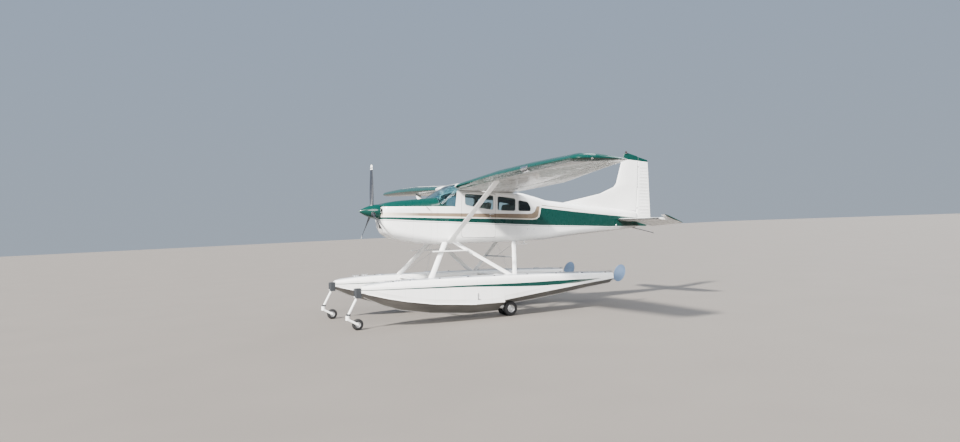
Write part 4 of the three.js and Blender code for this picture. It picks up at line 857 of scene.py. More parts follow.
def grown(corners, by):
    """An outline let out from its own middle by a distance, or drawn in if it is negative."""
    ys = [y for y, z in corners]
    zs = [z for y, z in corners]
    my, mz = (min(ys) + max(ys)) / 2, (min(zs) + max(zs)) / 2
    hy, hz = (max(ys) - min(ys)) / 2, (max(zs) - min(zs)) / 2
    return [(my + (y - my) * (hy + by) / hy, mz + (z - mz) * (hz + by) / hz) for y, z in corners]


def side_prism(name, outline, x0, x1):
    return lofted(name, [[air(x, y, z) for y, z in outline] for x in (x0, x1)])


def air_box(name, x0, x1, y0, y1, z0, z1):
    return side_prism(name, [(y0, z0), (y1, z0), (y1, z1), (y0, z1)], x0, x1)


DOOR = [(2.205, 0.452), (3.03, 0.452), (3.03, -0.54), (2.205, -0.54)]
DOOR_WINDOW = [(2.27, 0.432), (2.985, 0.416), (2.985, 0.075), (2.42, 0.15), (2.275, 0.18)]
REAR_WINDOW = [(3.08, 0.405), (3.565, 0.365), (3.56, 0.07), (3.08, 0.075)]
QUARTER_WINDOW = [(3.63, 0.335), (3.905, 0.3), (3.99, 0.16), (3.99, 0.08), (3.63, 0.07)]
WINDSHIELD_HOLE = [(1.622, 0.7), (1.622, 0.33), (1.7, 0.168), (2.07, 0.13), (2.1, 0.505),
                   (2.1, 0.7)]
WALL = 0.038


def side_opening(name, corners, radius, sign, x0=0.3, x1=0.7):
    return side_prism(name, rounded(corners, radius), sign * x0, sign * x1)


# %% Cabin shell and doors
def shell_mesh(name, sections, y0, y1, wall, front_wall, back_wall):
    outer = fuselage_solid(name, sections, y0, y1)
    inner = fuselage_solid(name + "_inside", sections, y0 + front_wall, y1 + back_wall, wall)
    return cut(outer, inner)


def line_inside(mesh, sections):
    """Faces that look into the cabin take the lining, which is the second material."""
    mesh.materials.append(TRIM_GREY)
    to_air = AIR.inverted()
    turn = to_air.to_3x3()
    for face in mesh.polygons:
        place, facing = to_air @ face.center, turn @ face.normal
        half, top, bottom = between(sections, place.y)[:3]
        middle = (top + bottom) / 2
        out = Vector((place.x / half, 0, (place.z - middle) / (top - middle))).normalized()
        firewall_back = facing.y > 0.9 and place.y < 1.6
        if facing.dot(out) < -0.3 or firewall_back:
            face.material_index = 1


def skin_piece(node, mesh, material=LIVERY, angle=30, name=None, sections=None, weighted=True):
    """A drawn mesh as the piece that stands for a node, lined inside if it has sections."""
    settle(mesh, angle)
    piece = new_piece(name or f"{node}_skin", mesh, node_body[node], material)
    if sections:
        line_inside(mesh, sections)
    if weighted:
        weight_normals(piece)
    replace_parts(piece, node)
    return piece


bare_cabin = shell_mesh("cabin", CABIN, 1.5, 4.5, WALL, 0.024, 0.01)
cabin_mesh = cut(bare_cabin.copy(), side_prism("hole", WINDSHIELD_HOLE, -0.8, 0.8))
for side, sign in SIDES.items():
    cabin_mesh = cut(cabin_mesh, side_opening("hole", grown(DOOR, 0.008), 0.06, sign))
    for corners in (REAR_WINDOW, QUARTER_WINDOW):
        cabin_mesh = cut(cabin_mesh, side_opening("hole", corners, 0.055, sign))
cabin = skin_piece("cabin_shell", cabin_mesh, name="cabin_skin", sections=CABIN)

for side, sign in SIDES.items():
    door_mesh = keep(bare_cabin.copy(), side_opening("panel", DOOR, 0.06, sign))
    door_mesh = cut(door_mesh, side_opening("hole", DOOR_WINDOW, 0.055, sign))
    skin_piece(f"door_{side}", door_mesh, sections=CABIN)
print("cabin faces:", len(cabin_mesh.polygons), "door faces:", len(door_mesh.polygons))

# %% Tailcone, open for the tailplane and its tube
TAILPLANE_Z = -0.05
TAILPLANE_RIBS = [   # x, leading edge, half thickness of the hole
    (-1.0, 6.812, 0.034), (-0.12, 6.63, 0.041), (0.12, 6.63, 0.041), (1.0, 6.812, 0.034),
]


def tailplane_hole():
    rings = []
    for x, lead, half in TAILPLANE_RIBS:
        ring = []
        for k in range(24):
            turn = 2 * math.pi * k / 24
            share = (1 - math.cos(turn)) / 2
            height = half * min(1.0, math.sqrt(share * 2.6)) * (1 if turn < math.pi else -1)
            ring.append(air(x, lead + (7.162 - lead) * share, TAILPLANE_Z + height))
        rings.append(ring)
    return lofted("hole", rings)


def round_outline(radius, count):
    turns = [math.radians(360 / count * k) for k in range(count)]
    return [(radius * math.cos(turn), radius * math.sin(turn)) for turn in turns]


tail_mesh = shell_mesh("tailcone", TAIL, 4.5003, 7.292, 0.016, -0.01, -0.06)
tail_mesh = cut(tail_mesh, tailplane_hole())
tube_hole = [(7.205 + y, TAILPLANE_Z + z) for y, z in round_outline(0.043, 24)]
tail_mesh = cut(tail_mesh, side_prism("hole", tube_hole, -0.3, 0.3))
tailcone = skin_piece("tailcone", tail_mesh)
print("tailcone faces:", len(tail_mesh.polygons))

# %% Cowl, in an upper and a lower half, with its inlets
def front_prism(name, outline, y1, y0=0.43):
    """An outline of x and z, run aft through the nose."""
    return lofted(name, [[air(x, y, z) for x, z in outline] for y in (y0, y1)])


INLET = [(0.09, 0.07), (0.262, 0.07), (0.262, -0.075), (0.15, -0.075)]
SCOOP = [(-0.075, -0.275), (0.075, -0.275), (0.075, -0.378), (-0.075, -0.378)]
COWL_SPLIT = [(0.4, 0.099), (1.6, 0.129), (1.6, 0.5), (0.4, 0.5)]
SPLIT_GAP = 0.0009
cowl_solid = fuselage_solid("cowl", COWL, 0.47, 1.4997, 0.0, 0.03)
cowl_solid = cut(cowl_solid, fuselage_solid("inside", COWL, 0.482, 1.52, 0.012, 0.05))
for sign in (1, -1):
    inlet = [(x * sign, z) for x, z in rounded(INLET, 0.05)]
    cowl_solid = cut(cowl_solid, front_prism("inlet", inlet, 0.5))
cowl_solid = cut(cowl_solid, front_prism("scoop", rounded(SCOOP, 0.02), 0.56))
cowl_solid = cut(cowl_solid, front_prism("shaft", round_outline(0.11, 36), 0.5, 0.44))
upper_mesh = keep(cowl_solid.copy(), side_prism("above", COWL_SPLIT, -0.6, 0.6))
below_split = [(y, z - SPLIT_GAP) for y, z in COWL_SPLIT]
lower_mesh = cut(cowl_solid, side_prism("below", below_split, -0.6, 0.6))
skin_piece("cowl_upper", upper_mesh)
skin_piece("cowl_lower", lower_mesh)
print("cowl faces:", len(upper_mesh.polygons), len(lower_mesh.polygons))

# %% [markdown]
# Small round things are turned like on a lathe, and wires, pipes and rails are tubes along a
# path. Both helpers return a closed mesh, so that several can be joined into one piece.

# %% Lathe, tube and block helpers
def circle(across, beyond, count):
    """Steps round a circle that lies along two directions."""
    turns = [2 * math.pi * k / count for k in range(count)]
    return [across * math.cos(turn) + beyond * math.sin(turn) for turn in turns]


def spun(profile, origin, axis, segments=40):
    """A closed mesh of (radius, height) points turned round an axis from an origin."""
    axis = Vector(axis).normalized()
    across = axis.orthogonal().normalized()
    beyond = axis.cross(across)
    bm = bmesh.new()
    rings = []
    for radius, height in profile:
        centre = Vector(origin) + axis * height
        if radius < 1e-6:
            rings.append([bm.verts.new(centre)])
            continue
        rings.append([bm.verts.new(centre + step * radius)
                      for step in circle(across, beyond, segments)])
    for first, second in zip(rings, rings[1:]):
        for k in range(segments):
            j = (k + 1) % segments
            corners = [first[k % len(first)], first[j % len(first)], second[j % len(second)],
                       second[k % len(second)]]
            unique = list(dict.fromkeys(corners))
            if len(unique) > 2:
                bm.faces.new(unique)
    bmesh.ops.recalc_face_normals(bm, faces=bm.faces)
    mesh = bpy.data.meshes.new("spun")
    bm.to_mesh(mesh)
    bm.free()
    return mesh


def tube(points, radius, sides=10):
    """A closed round bar along points; radius is one number, or one for each point."""
    points = [Vector(point) for point in points]
    radii = radius if isinstance(radius, (list, tuple)) else [radius] * len(points)
    rings = []
    across = None
    for k, point in enumerate(points):
        ahead = points[min(k + 1, len(points) - 1)] - points[max(k - 1, 0)]
        ahead.normalize()
        if across is None:
            across = ahead.orthogonal().normalized()
        across = (across - ahead * across.dot(ahead)).normalized()
        beyond = ahead.cross(across)
        rings.append([point + step * radii[k] for step in circle(across, beyond, sides)])
    return lofted("tube", rings)


def curved(points, steps=6):
    """A smooth path through points."""
    points = [Vector(point) for point in points]
    path = []
    for k in range(len(points) - 1):
        a, b = points[max(k - 1, 0)], points[k]
        c, d = points[k + 1], points[min(k + 2, len(points) - 1)]
        for s in range(steps):
            t = s / steps
            path.append(0.5 * ((2 * b) + (c - a) * t + (2 * a - 5 * b + 4 * c - d) * t**2
                               + (3 * b - a - 3 * c + d) * t**3))
    return path + [points[-1]]


def block(ruler_used, low, high, bevel=0.004, segments=2):
    """A box between two corners on a ruler, with all its edges rounded."""
    bm = bmesh.new()
    made = bmesh.ops.create_cube(bm, size=1.0)
    size = Vector(high) - Vector(low)
    middle = (Vector(high) + Vector(low)) / 2
    for vert in made["verts"]:
        vert.co = Vector(vert.co[i] * size[i] for i in range(3)) + middle
    bmesh.ops.bevel(bm, geom=list(bm.edges), offset=bevel, segments=segments, affect="EDGES",
                    profile=0.5)
    bmesh.ops.transform(bm, matrix=ruler_used, verts=bm.verts)
    mesh = bpy.data.meshes.new("block")
    bm.to_mesh(mesh)
    bm.free()
    return mesh


def gathered(name, meshes, material, angle=35, body="airframe"):
    """Several closed meshes as one piece."""
    bm = bmesh.new()
    for mesh in meshes:
        bm.from_mesh(mesh)
        bpy.data.meshes.remove(mesh)
    whole = bpy.data.meshes.new(name)
    bm.to_mesh(whole)
    bm.free()
    settle(whole, angle)
    piece = new_piece(name, whole, body, material)
    weight_normals(piece)
    return piece


# %% [markdown]
# The spinner is a spun cone with a slight swell, cut round each blade. Behind it the blades are
# lofted from their sections, wide and flat outside, thick and round at the hub.

# %% Spinner
SPINNER_LENGTH = 0.452
SPINNER_RADIUS = 0.165
HUB_STATION = 0.3
BLADE_TURNS = [-3.8 + 120 * k for k in range(3)]


def about_shaft(degrees):
    """A turn round the propeller shaft, blade side up at zero."""
    return AIR @ Matrix.Rotation(math.radians(degrees), 4, "Y")


def round_blade(profile, turn):
    """A profile spun round one blade's own axis, its heights measured from the shaft."""
    placed = about_shaft(turn)
    return spun(profile, placed @ Vector((0, HUB_STATION, 0)),
                placed.to_3x3() @ Vector((0, 0, 1)), 32)


outside = [(0.0, 0.0)]
for k in range(29):
    y = 0.001 + 0.451 * (k / 28) ** 1.5
    outside.append((SPINNER_RADIUS * (1 - (1 - y / SPINNER_LENGTH) ** 1.9) ** 0.95, y))
outside += [(0.15, 0.452), (0.15, 0.436), (0.126, 0.432), (0.126, 0.275), (0.096, 0.208),
            (0.0, 0.205)]
spinner_mesh = spun(outside, air(0, 0, 0), AFT, 96)
for turn in BLADE_TURNS:
    hole = round_blade([(0, 0.08), (0.052, 0.08), (0.052, 0.22), (0, 0.22)], turn)
    spinner_mesh = cut(spinner_mesh, hole)
skin_piece("spinner", spinner_mesh, plain_paint("spinner_paint", GREEN, 0.2))
print("spinner faces:", len(spinner_mesh.polygons))

# %% Propeller blades
BLADE_SECTIONS = [   # radius, chord, thickness, pitch in degrees
    (0.06, 0.078, 0.078, 24), (0.11, 0.078, 0.076, 38), (0.17, 0.082, 0.064, 45),
    (0.24, 0.092, 0.047, 42), (0.33, 0.106, 0.034, 38), (0.44, 0.112, 0.026, 34),
    (0.56, 0.114, 0.021, 30), (0.68, 0.109, 0.017, 27), (0.8, 0.1, 0.013, 24),
    (0.89, 0.091, 0.011, 22.5), (0.96, 0.082, 0.009, 21), (1.005, 0.07, 0.008, 20),
    (1.028, 0.058, 0.006, 19.4), (1.04, 0.034, 0.004, 19),
]
HUB = [(0, 0.215), (0.08, 0.215), (0.092, 0.227), (0.092, 0.373), (0.08, 0.385), (0, 0.385)]
SHAFT = [(0, 0.3), (0.0545, 0.3), (0.0545, 0.6397), (0, 0.6397)]
CLAMP = [(0.0415, 0.118), (0.0475, 0.12), (0.0475, 0.15), (0.0415, 0.152), (0.0415, 0.118)]


def blade(turn):
    placed = about_shaft(turn)
    rings = []
    for radius, chord, thickness, pitch in BLADE_SECTIONS:
        cosine, sine = math.cos(math.radians(pitch)), math.sin(math.radians(pitch))
        ring = []
        for k in range(28):
            a = 2 * math.pi * k / 28
            chordwise = math.cos(a) * chord / 2
            across = math.sin(a) * thickness / 2
            back = HUB_STATION + chordwise * sine + across * cosine
            ring.append(placed @ Vector((chordwise * cosine - across * sine, back, radius)))
        rings.append(ring)
    return lofted("blade", rings)


parts = [spun(profile, air(0, 0, 0), AFT, 48) for profile in (HUB, SHAFT)]
parts += [blade(turn) for turn in BLADE_TURNS]
propeller = gathered("propeller_blades", parts, BLADE_PAINT, 40, body="propeller")
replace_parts(propeller, "propeller")
clamps = [round_blade(CLAMP, turn) for turn in BLADE_TURNS]
gathered("blade_clamps", clamps, STEEL, body="propeller")
print("propeller faces:", len(propeller.data.polygons))

# %% [markdown]
# Wheels: each tyre is spun from a profile with a round shoulder and four grooves in its tread,
# and its rim is a bright dish with a ring and a cap. The twin main wheels share one axle.

# %% Tyres and rims
TREAD_DEPTH = 0.0035


def tyre_profile(radius, width, rim):
    half = width / 2
    shoulder = width * 0.42
    bead = [(rim - 0.002, half * 0.72), (rim + 0.004, half * 0.93), (rim + 0.012, half)]
    for k in range(1, 7):
        a = math.radians(90 * k / 7)
        bead.append((radius - shoulder + shoulder * math.sin(a) * 0.985,
                     half - shoulder * (1 - math.cos(a))))
    profile = [(reach, -height) for reach, height in bead]
    tread = half - shoulder * 0.9
    for k in range(-2, 3):
        centre = tread * k / 2.4
        floor = radius - TREAD_DEPTH
        profile += [(radius, centre - 0.0042), (floor, centre - 0.003),
                    (floor, centre + 0.003), (radius, centre + 0.0042)]
    return profile + bead[::-1] + [profile[0]]


def rim_profile(rim, width, hub_radius):
    half = width / 2
    side = [(hub_radius, half * 0.8), (hub_radius + 0.006, half * 0.8),
            (hub_radius + 0.01, half * 0.42), (rim * 0.72, half * 0.36),
            (rim * 0.86, half * 0.6), (rim * 0.9, half * 0.88), (rim - 0.001, half * 0.92),
            (rim + 0.003, half * 0.88), (rim + 0.003, half * 0.7), (rim - 0.003, half * 0.62)]
    return side + [(radius, -height) for radius, height in reversed(side)] + [side[0]]


def cap_profile(radius, height):
    return [(0.0, height), (radius * 0.55, height * 0.98), (radius * 0.9, height * 0.86),
            (radius, height * 0.6), (radius, 0.0), (0.0, 0.0)]


X = Vector((1, 0, 0))
TWIN_SHIFT = 0.15        # from the middle of the axle to each main tyre
MAIN_AXLE = [(0, -0.166), (0.0218, -0.166), (0.0218, 0.166), (0, 0.166)]
for side in SIDES:
    wheel = f"nose_wheel_{side}"
    low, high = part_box(wheel)
    centre = (low + high) / 2
    tyre = gathered(f"nose_tyre_{side}", [spun(tyre_profile(0.114, 0.084, 0.052), centre, X, 72)],
                    RUBBER, 40, body=wheel)
    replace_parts(tyre, wheel)
    gathered(f"nose_rim_{side}", [spun(rim_profile(0.052, 0.084, 0.0141), centre, X, 48)],
             HUB_METAL, 40, body=wheel)
    wheel = f"main_wheels_{side}"
    low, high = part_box(wheel)
    centre = (low + high) / 2
    tyres, rims = [], []
    for out in (-1, 1):
        middle = centre + X * out * TWIN_SHIFT
        tyres.append(spun(tyre_profile(0.158, 0.1, 0.078), middle, X, 84))
        rims.append(spun(rim_profile(0.078, 0.1, 0.0221), middle, X, 56))
        rims.append(spun(cap_profile(0.03, 0.012), centre + X * out * 0.158, X * out, 32))
    rims.append(spun(MAIN_AXLE, centre, X, 32))
    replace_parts(gathered(f"main_tyres_{side}", tyres, RUBBER, 40, body=wheel), wheel)
    gathered(f"main_rims_{side}", rims, HUB_METAL, 40, body=wheel)
print("wheels made, tyre faces:", len(tyre.data.polygons))

# %% [markdown]
# The nose leg of each float is white, but the block it stands on is a rubber bumper, so that
# node's copy gets two materials, chosen face by face from where each face lies.

# %% Nose legs with their rubber bow blocks
to_craft = CRAFT.inverted()
for side in SIDES:
    leg = smooth_copy(f"nose_leg_{side}", STRUT_PAINT, 35)
    leg.data.materials.append(BUMPER_RUBBER)
    for face in leg.data.polygons:
        place = to_craft @ face.center
        aside = abs(abs(place.x) - FLOAT_X)
        inside = aside < 0.0725 and -0.4325 < place.y < -0.295 and 0.635 < place.z < 0.84
        on_leg = aside < 0.0262 and place.z < 0.72
        face.material_index = 1 if inside and not on_leg else 0
print("bow blocks done")

# %% [markdown]
# The rudder's skin is stiffened by pressed beads, which catch the light as fine level lines. The
# skin is lofted in close rows, and each bead lifts a few of them.

# %% Rudder with pressed beads
RUDDER = [   # z, trailing edge y, thickness
    (-0.2, 7.65, 0.04), (-0.14, 7.712, 0.052), (0.04, 7.79, 0.06), (1.38, 7.712, 0.052),
    (1.585, 7.69, 0.04),
]
BEADS = [0.075 + 0.0835 * k for k in range(16)]
BEAD_HALF, BEAD_HEIGHT = 0.013, 0.0032
TOP_SLOPE = 0.206
HINGES = (0.26, 0.8, 1.33)


def hinge_y(z):
    return 7.345 + 0.038 * z


def level_between(table, z):
    for low, high in zip(table, table[1:]):
        if z <= high[0] or high is table[-1]:
            share = min(max((z - low[0]) / (high[0] - low[0]), 0.0), 1.0)
            return [a + (b - a) * share for a, b in zip(low[1:], high[1:])]


rows = sorted(set([row[0] for row in RUDDER] + [-0.2 + 1.785 * k / 24 for k in range(25)]
                  + [bead + d for bead in BEADS for d in (-0.013, -0.007, 0.0, 0.007, 0.013)]))
rings = []
for z in rows:
    tail, thick = level_between(RUDDER, z)
    line = hinge_y(z)
    lift = max([0.0] + [BEAD_HEIGHT * (1 - (abs(z - bead) / BEAD_HALF) ** 2)
                        for bead in BEADS if abs(z - bead) < BEAD_HALF])
    slope = TOP_SLOPE if z > 1.5849 else 0.0
    points = [(0.0, line - 0.026, 0.0), (thick * 0.28, line - 0.021, 0.0),
              (thick * 0.42, line - 0.012, 0.0), (thick * 0.5, line + 0.008, 0.0)]
    for share in (0.12, 0.16, 0.25, 0.4, 0.6, 0.8, 0.9, 0.95):
        half = thick * 0.5 + (0.003 - thick * 0.5) * share
        raised = lift if 0.13 < share < 0.93 else 0.0
        points.append((half, line + 0.008 + (tail - line - 0.008) * share, raised))
    points.append((0.003, tail, 0.0))
    ring = [(x + r, y) for x, y, r in points] + [(-x - r, y) for x, y, r in reversed(points[1:])]
    rings.append([air(x, y, z - (y - line) * slope) for x, y in ring])
rudder_mesh = lofted("rudder", rings)
for z in HINGES:
    y = hinge_y(z)
    slot = air_box("slot", -0.09, 0.09, y - 0.06, y + 0.02, z - 0.015, z + 0.015)
    rudder_mesh = cut(rudder_mesh, slot)
for z in HINGES:
    ends = [air(0, hinge_y(end), end) for end in (z - 0.017, z + 0.017)]
    rudder_mesh = join(rudder_mesh, tube(ends, 0.006, 16))
skin_piece("rudder", rudder_mesh, FIN_PAINT, 40, weighted=False)
print("rudder faces:", len(rudder_mesh.polygons), "beads:", len(BEADS))

# %% [markdown]
# Rows of rivets hold the skins to their frames. One Geometry Nodes tree sets them: it takes lines
# drawn along the frames, spaces points on them, and puts a small dome on each, turned to face
# the way the skin faces there. The lines are first laid onto the real skin, and carry its facing
# as an attribute, so that the tree can read it. A second tree sweeps a bar along such lines, for
# the pressed beads of the control surfaces. Both end in the same way: the shape is made real
# and takes its material.

# %% Trees for rivets and beads
def line_tree(name, values, shape):
    """A tree that turns lines into a shape; `shape` adds the nodes in the middle."""
    tree = bpy.data.node_groups.new(name, "GeometryNodeTree")
    face = tree.interface
    for way in ("INPUT", "OUTPUT"):
        face.new_socket("Geometry", in_out=way, socket_type="NodeSocketGeometry")
    for key, value in values.items():
        socket = face.new_socket(key, in_out="INPUT", socket_type="NodeSocketFloat")
        socket.default_value = value
    face.new_socket("Material", in_out="INPUT", socket_type="NodeSocketMaterial")
    node = tree.nodes.new
    source = node("NodeGroupInput").outputs
    curve = fed(node("GeometryNodeMeshToCurve"), Mesh=source["Geometry"]).outputs["Curve"]
    real = fed(node("GeometryNodeRealizeInstances"), Geometry=shape(node, source, curve))
    painted = fed(node("GeometryNodeSetMaterial"), Geometry=real.outputs["Geometry"],
                  Material=source["Material"])
    fed(node("NodeGroupOutput"), Geometry=painted.outputs["Geometry"])
    return tree


def heads(node, source, curve):
    spaced = node("GeometryNodeResampleCurve")
    spaced.mode = "LENGTH"
    fed(spaced, Curve=curve, Length=source["Spacing"])
    points = node("GeometryNodeCurveToPoints")
    points.mode = "EVALUATED"
    fed(points, Curve=spaced.outputs["Curve"])
    facing = node("GeometryNodeInputNamedAttribute")
    facing.data_type = "FLOAT_VECTOR"
    fed(facing, Name="facing")
    turn = node("FunctionNodeAlignRotationToVector")
    turn.axis = "Z"
    fed(turn, Vector=facing.outputs[0])
    head = fed(node("GeometryNodeMeshUVSphere"), Segments=8, Rings=4, Radius=1.0)
    size = fed(node("ShaderNodeCombineXYZ"), X=source["Radius"], Y=source["Radius"],
               Z=source["Height"])
    domes = fed(node("GeometryNodeInstanceOnPoints"), Points=points.outputs["Points"],
                Instance=head.outputs["Mesh"], Rotation=turn.outputs["Rotation"],
                Scale=size.outputs[0])
    return domes.outputs["Instances"]


def bars(node, source, curve):
    ring = fed(node("GeometryNodeCurvePrimitiveCircle"), Resolution=8, Radius=source["Radius"])
    swept = fed(node("GeometryNodeCurveToMesh"), Curve=curve,
                Profile_Curve=ring.outputs["Curve"], Fill_Caps=True)
    return swept.outputs["Mesh"]


RIVETS = line_tree("rivet_rows", {"Spacing": 0.05, "Radius": 0.0035, "Height": 0.0015}, heads)
BEAD_BARS = line_tree("bead_lines", {"Radius": 0.004}, bars)


def bvh_of(*pieces):
    """A search tree over the surfaces of pieces, to lay lines on them."""
    verts, faces = [], []
    for piece in pieces:
        start = len(verts)
        verts += [vert.co.copy() for vert in piece.data.vertices]
        faces += [[start + k for k in face.vertices] for face in piece.data.polygons]
    return BVHTree.FromPolygons(verts, faces)


def skin_of(name):
    return bvh_of(bpy.data.objects[f"{name}_skin"])


def laid(name, skin, lines, reach, sunk=0.0):
    """Lines laid on the nearest skin within reach, as a mesh of edges that knows its facing."""
    verts, edges, facing = [], [], []
    for line in lines:
        last = None
        for point in line:
            found, normal, _, _ = skin.find_nearest(Vector(point), reach)
            if found is None:
                last = None
                continue
            verts.append(found - normal * sunk)
            facing.append(normal)
            if last is not None:
                edges.append((last, len(verts) - 1))
            last = len(verts) - 1
    mesh = bpy.data.meshes.new(name)
    mesh.from_pydata(verts, edges, [])
    attribute = mesh.attributes.new("facing", "FLOAT_VECTOR", "POINT")
    for k, normal in enumerate(facing):
        attribute.data[k].vector = normal
    return mesh


def through(tree, mesh, wanted):
    """What a tree makes of a mesh, as a plain mesh."""
    rows = new_object(mesh.name, mesh)
    modifier = rows.modifiers.new("tree", "NODES")
    modifier.node_group = tree
    for item in tree.interface.items_tree:
        if item.in_out == "INPUT" and item.name in wanted:
            modifier[item.identifier] = wanted[item.name]
    made = evaluated(rows)
    bpy.data.objects.remove(rows)
    return made


def rivet_rows(name, skin, lines, material, spacing=0.055, radius=0.0036, height=0.0016,
               reach=0.03):
    """Domed rivets along lines, for a skin of the airframe."""
    made = through(RIVETS, laid(name, skin, lines, reach), {
        "Spacing": spacing, "Radius": radius, "Height": height, "Material": material})
    for face in made.polygons:
        face.use_smooth = True
    print(name, len(made.polygons) // 32, "rivets")
    new_piece(name, made, "airframe")


def bead_lines(name, skin, lines, body, material, radius=0.0045, sunk=0.0027, reach=0.03):
    """Half-sunk bars along lines."""
    lines_mesh = laid(name, skin, lines, reach, sunk)
    lines_mesh.attributes.remove(lines_mesh.attributes["facing"])
    made = through(BEAD_BARS, lines_mesh, {"Radius": radius, "Material": material})
    settle(made, 60)
    print(name, len(lines), "lines,", len(made.polygons), "faces")
    new_piece(name, made, body)


# %% Rivets on the fuselage
def girth(sections, y):
    ring = section_ring(sections, y, 0.0, 8, 6)
    return ring + [ring[0]]


cabin_skin = bvh_of(cabin)
tail_skin = bvh_of(tailcone)
rows = [girth(CABIN, y) for y in (1.515, 1.625, 1.655, 3.585, 3.615, 4.485)]
rows += [[air(s * 0.6, 1.52 + 0.1 * k, -0.56) for k in range(7)] for s in (1, -1)]
rows += [[air(s * 0.6, 3.06 + 0.1 * k, -0.46) for k in range(15)] for s in (1, -1)]
rivet_rows("cabin_rivets", cabin_skin, rows, LIVERY)
rows = [girth(TAIL, y) for y in (4.515, 5.085, 5.115, 5.585, 5.615, 6.025, 6.055, 6.385, 6.415,
                                 6.725, 6.755, 7.04)]
stations = [4.52 + 0.09 * k for k in range(30)]
for s in (1, -1):
    rows.append([air(s * (0.44 - 0.13 * (y - 4.5)), y, -0.28 + 0.03 * (y - 4.5))
                 for y in stations])
rivet_rows("tailcone_rivets", tail_skin, rows, LIVERY)

# %% Rivets on the floats
HULL_FORE = [   # y, keel, chine height, half beam, sheer height, half beam, deck, half beam
    (-0.3, 0.68, 0.745, 0.095, 0.815, 0.11, 0.86, 0.08),
    (-0.16, 0.605, 0.712, 0.175, 0.822, 0.19, 0.895, 0.135),
    (0.18, 0.45, 0.622, 0.265, 0.832, 0.275, 0.925, 0.19),
    (0.54, 0.335, 0.545, 0.32, 0.838, 0.322, 0.94, 0.225),
    (1.17, 0.23, 0.45, 0.368, 0.832, 0.355, 0.945, 0.255),
    (2.12, 0.158, 0.38, 0.38, 0.822, 0.362, 0.942, 0.262),
    (2.74, 0.172, 0.385, 0.38, 0.815, 0.362, 0.938, 0.262),
]
HULL_AFT = [
    (2.74, 0.292, 0.43, 0.372, 0.815, 0.362, 0.938, 0.262),
    (3.6, 0.365, 0.53, 0.352, 0.805, 0.345, 0.925, 0.25),
    (4.32, 0.448, 0.605, 0.312, 0.792, 0.305, 0.905, 0.222),
    (5.02, 0.548, 0.672, 0.248, 0.778, 0.242, 0.88, 0.178),
    (5.68, 0.622, 0.728, 0.172, 0.765, 0.168, 0.852, 0.124),
]


def hull_at(y):
    table = HULL_FORE if y <= 2.74 else HULL_AFT
    return level_between(table, y)


def hull_girth(y, sign, steps=5):
    keel, chine, beam, sheer, sheer_beam, deck, deck_beam = hull_at(y)
    half = [(0, keel), (beam * 0.5, keel + (chine - keel) * 0.56), (beam, chine),
            (sheer_beam, sheer),
            ((sheer_beam + deck_beam) / 2 + 0.012, sheer + (deck - sheer) * 0.66),
            (deck_beam, deck), (0, deck + 0.014)]
    ring = half + [(-x, z) for x, z in half[1:-1]][::-1] + [half[0]]
    line = []
    for (x0, z0), (x1, z1) in zip(ring, ring[1:]):
        line += [craft(sign * FLOAT_X + x0 + (x1 - x0) * s / steps, y, z0 + (z1 - z0) * s / steps)
                 for s in range(steps)]
    return line


stations = [-0.2 + 0.1 * k for k in range(59)]
for side, sign in SIDES.items():
    rows = [hull_girth(y, sign) for y in FRAMES]
    for edge, column, drop in ((2, 1, 0.018), (4, 3, -0.02), (4, 3, 0.022)):
        for out in (1, -1):
            rows.append([craft(sign * FLOAT_X + out * hull_at(y)[edge], y,
                               hull_at(y)[column] + drop) for y in stations])
    rivet_rows(f"float_rivets_{side}", skin_of(f"float_{side}"), rows, FLOAT_PAINT,
               0.075, 0.0042, 0.0018, 0.06)

# %% Rivets on the wings
RIB_ROWS = (0.66, 1.05, 1.6, 2.15, 2.55, 3.1, 3.65, 4.2, 4.75, 5.22)
shares = [0.03 + 0.67 * k / 16 for k in range(17)]
for side, sign in SIDES.items():
    rows = [[wing_at(sign * x, share, face) for share in shares]
            for face in (1, -1) for x in RIB_ROWS]
    rows += [[wing_at(sign * (0.62 + 0.1 * k), part, face) for k in range(47)]
             for face in (1, -1) for part in (0.12, 0.42)]
    rivet_rows(f"wing_rivets_{side}", skin_of(f"wing_{side}"), rows, WING_PAINT,
               0.07, 0.0032, 0.0012, 0.04)

# %% [markdown]
# Trim and fittings. None of these is large, but an aeroplane without them looks like a toy:
# window frames, door handles, seats, dials, lamps, cleats, and the wires that brace the floats
# and steer the water rudders.

# %% Window frames
FRAME_WHITE = plain_paint("window_frame_paint", (0.82, 0.82, 0.8, 1), 0.3)
WINDOW_CORNER = 0.055


def side_x(y, z):
    """Half the cabin's width at a height, round its upper corner too."""
    half, top, bottom, upper, lower = between(CABIN, y)
    if z <= top - upper:
        return half
    rise = min((z - (top - upper)) / upper, 1.0)
    return half - upper + upper * math.sqrt(max(0.0, 1 - rise * rise))


def window_frame(corners, sign, width=0.02, proud=0.0035):
    """A thin raised frame that follows the skin round an opening."""
    inner = rounded(grown(corners, -0.004), WINDOW_CORNER)
    outer = rounded(grown(corners, width), WINDOW_CORNER + width)
    verts = [air(sign * (side_x(y, z) + level), y, z)
             for level in (-0.006, proud) for line in (inner, outer) for y, z in line]
    count = len(inner)
    faces = []
    for k in range(count):
        j = (k + 1) % count
        for a, b in ((0, 1), (1, 3), (3, 2), (2, 0)):
            faces.append((a * count + k, b * count + k, b * count + j, a * count + j))
    return closed("window_frame", verts, faces)


for side, sign in SIDES.items():
    frames = [window_frame(corners, sign) for corners in (REAR_WINDOW, QUARTER_WINDOW)]
    gathered(f"window_frames_{side}", frames, FRAME_WHITE, 40)
    gathered(f"door_window_frame_{side}", [window_frame(DOOR_WINDOW, sign, 0.014)], FRAME_WHITE, 40,
             body=f"door_{side}")
print("window frames made")

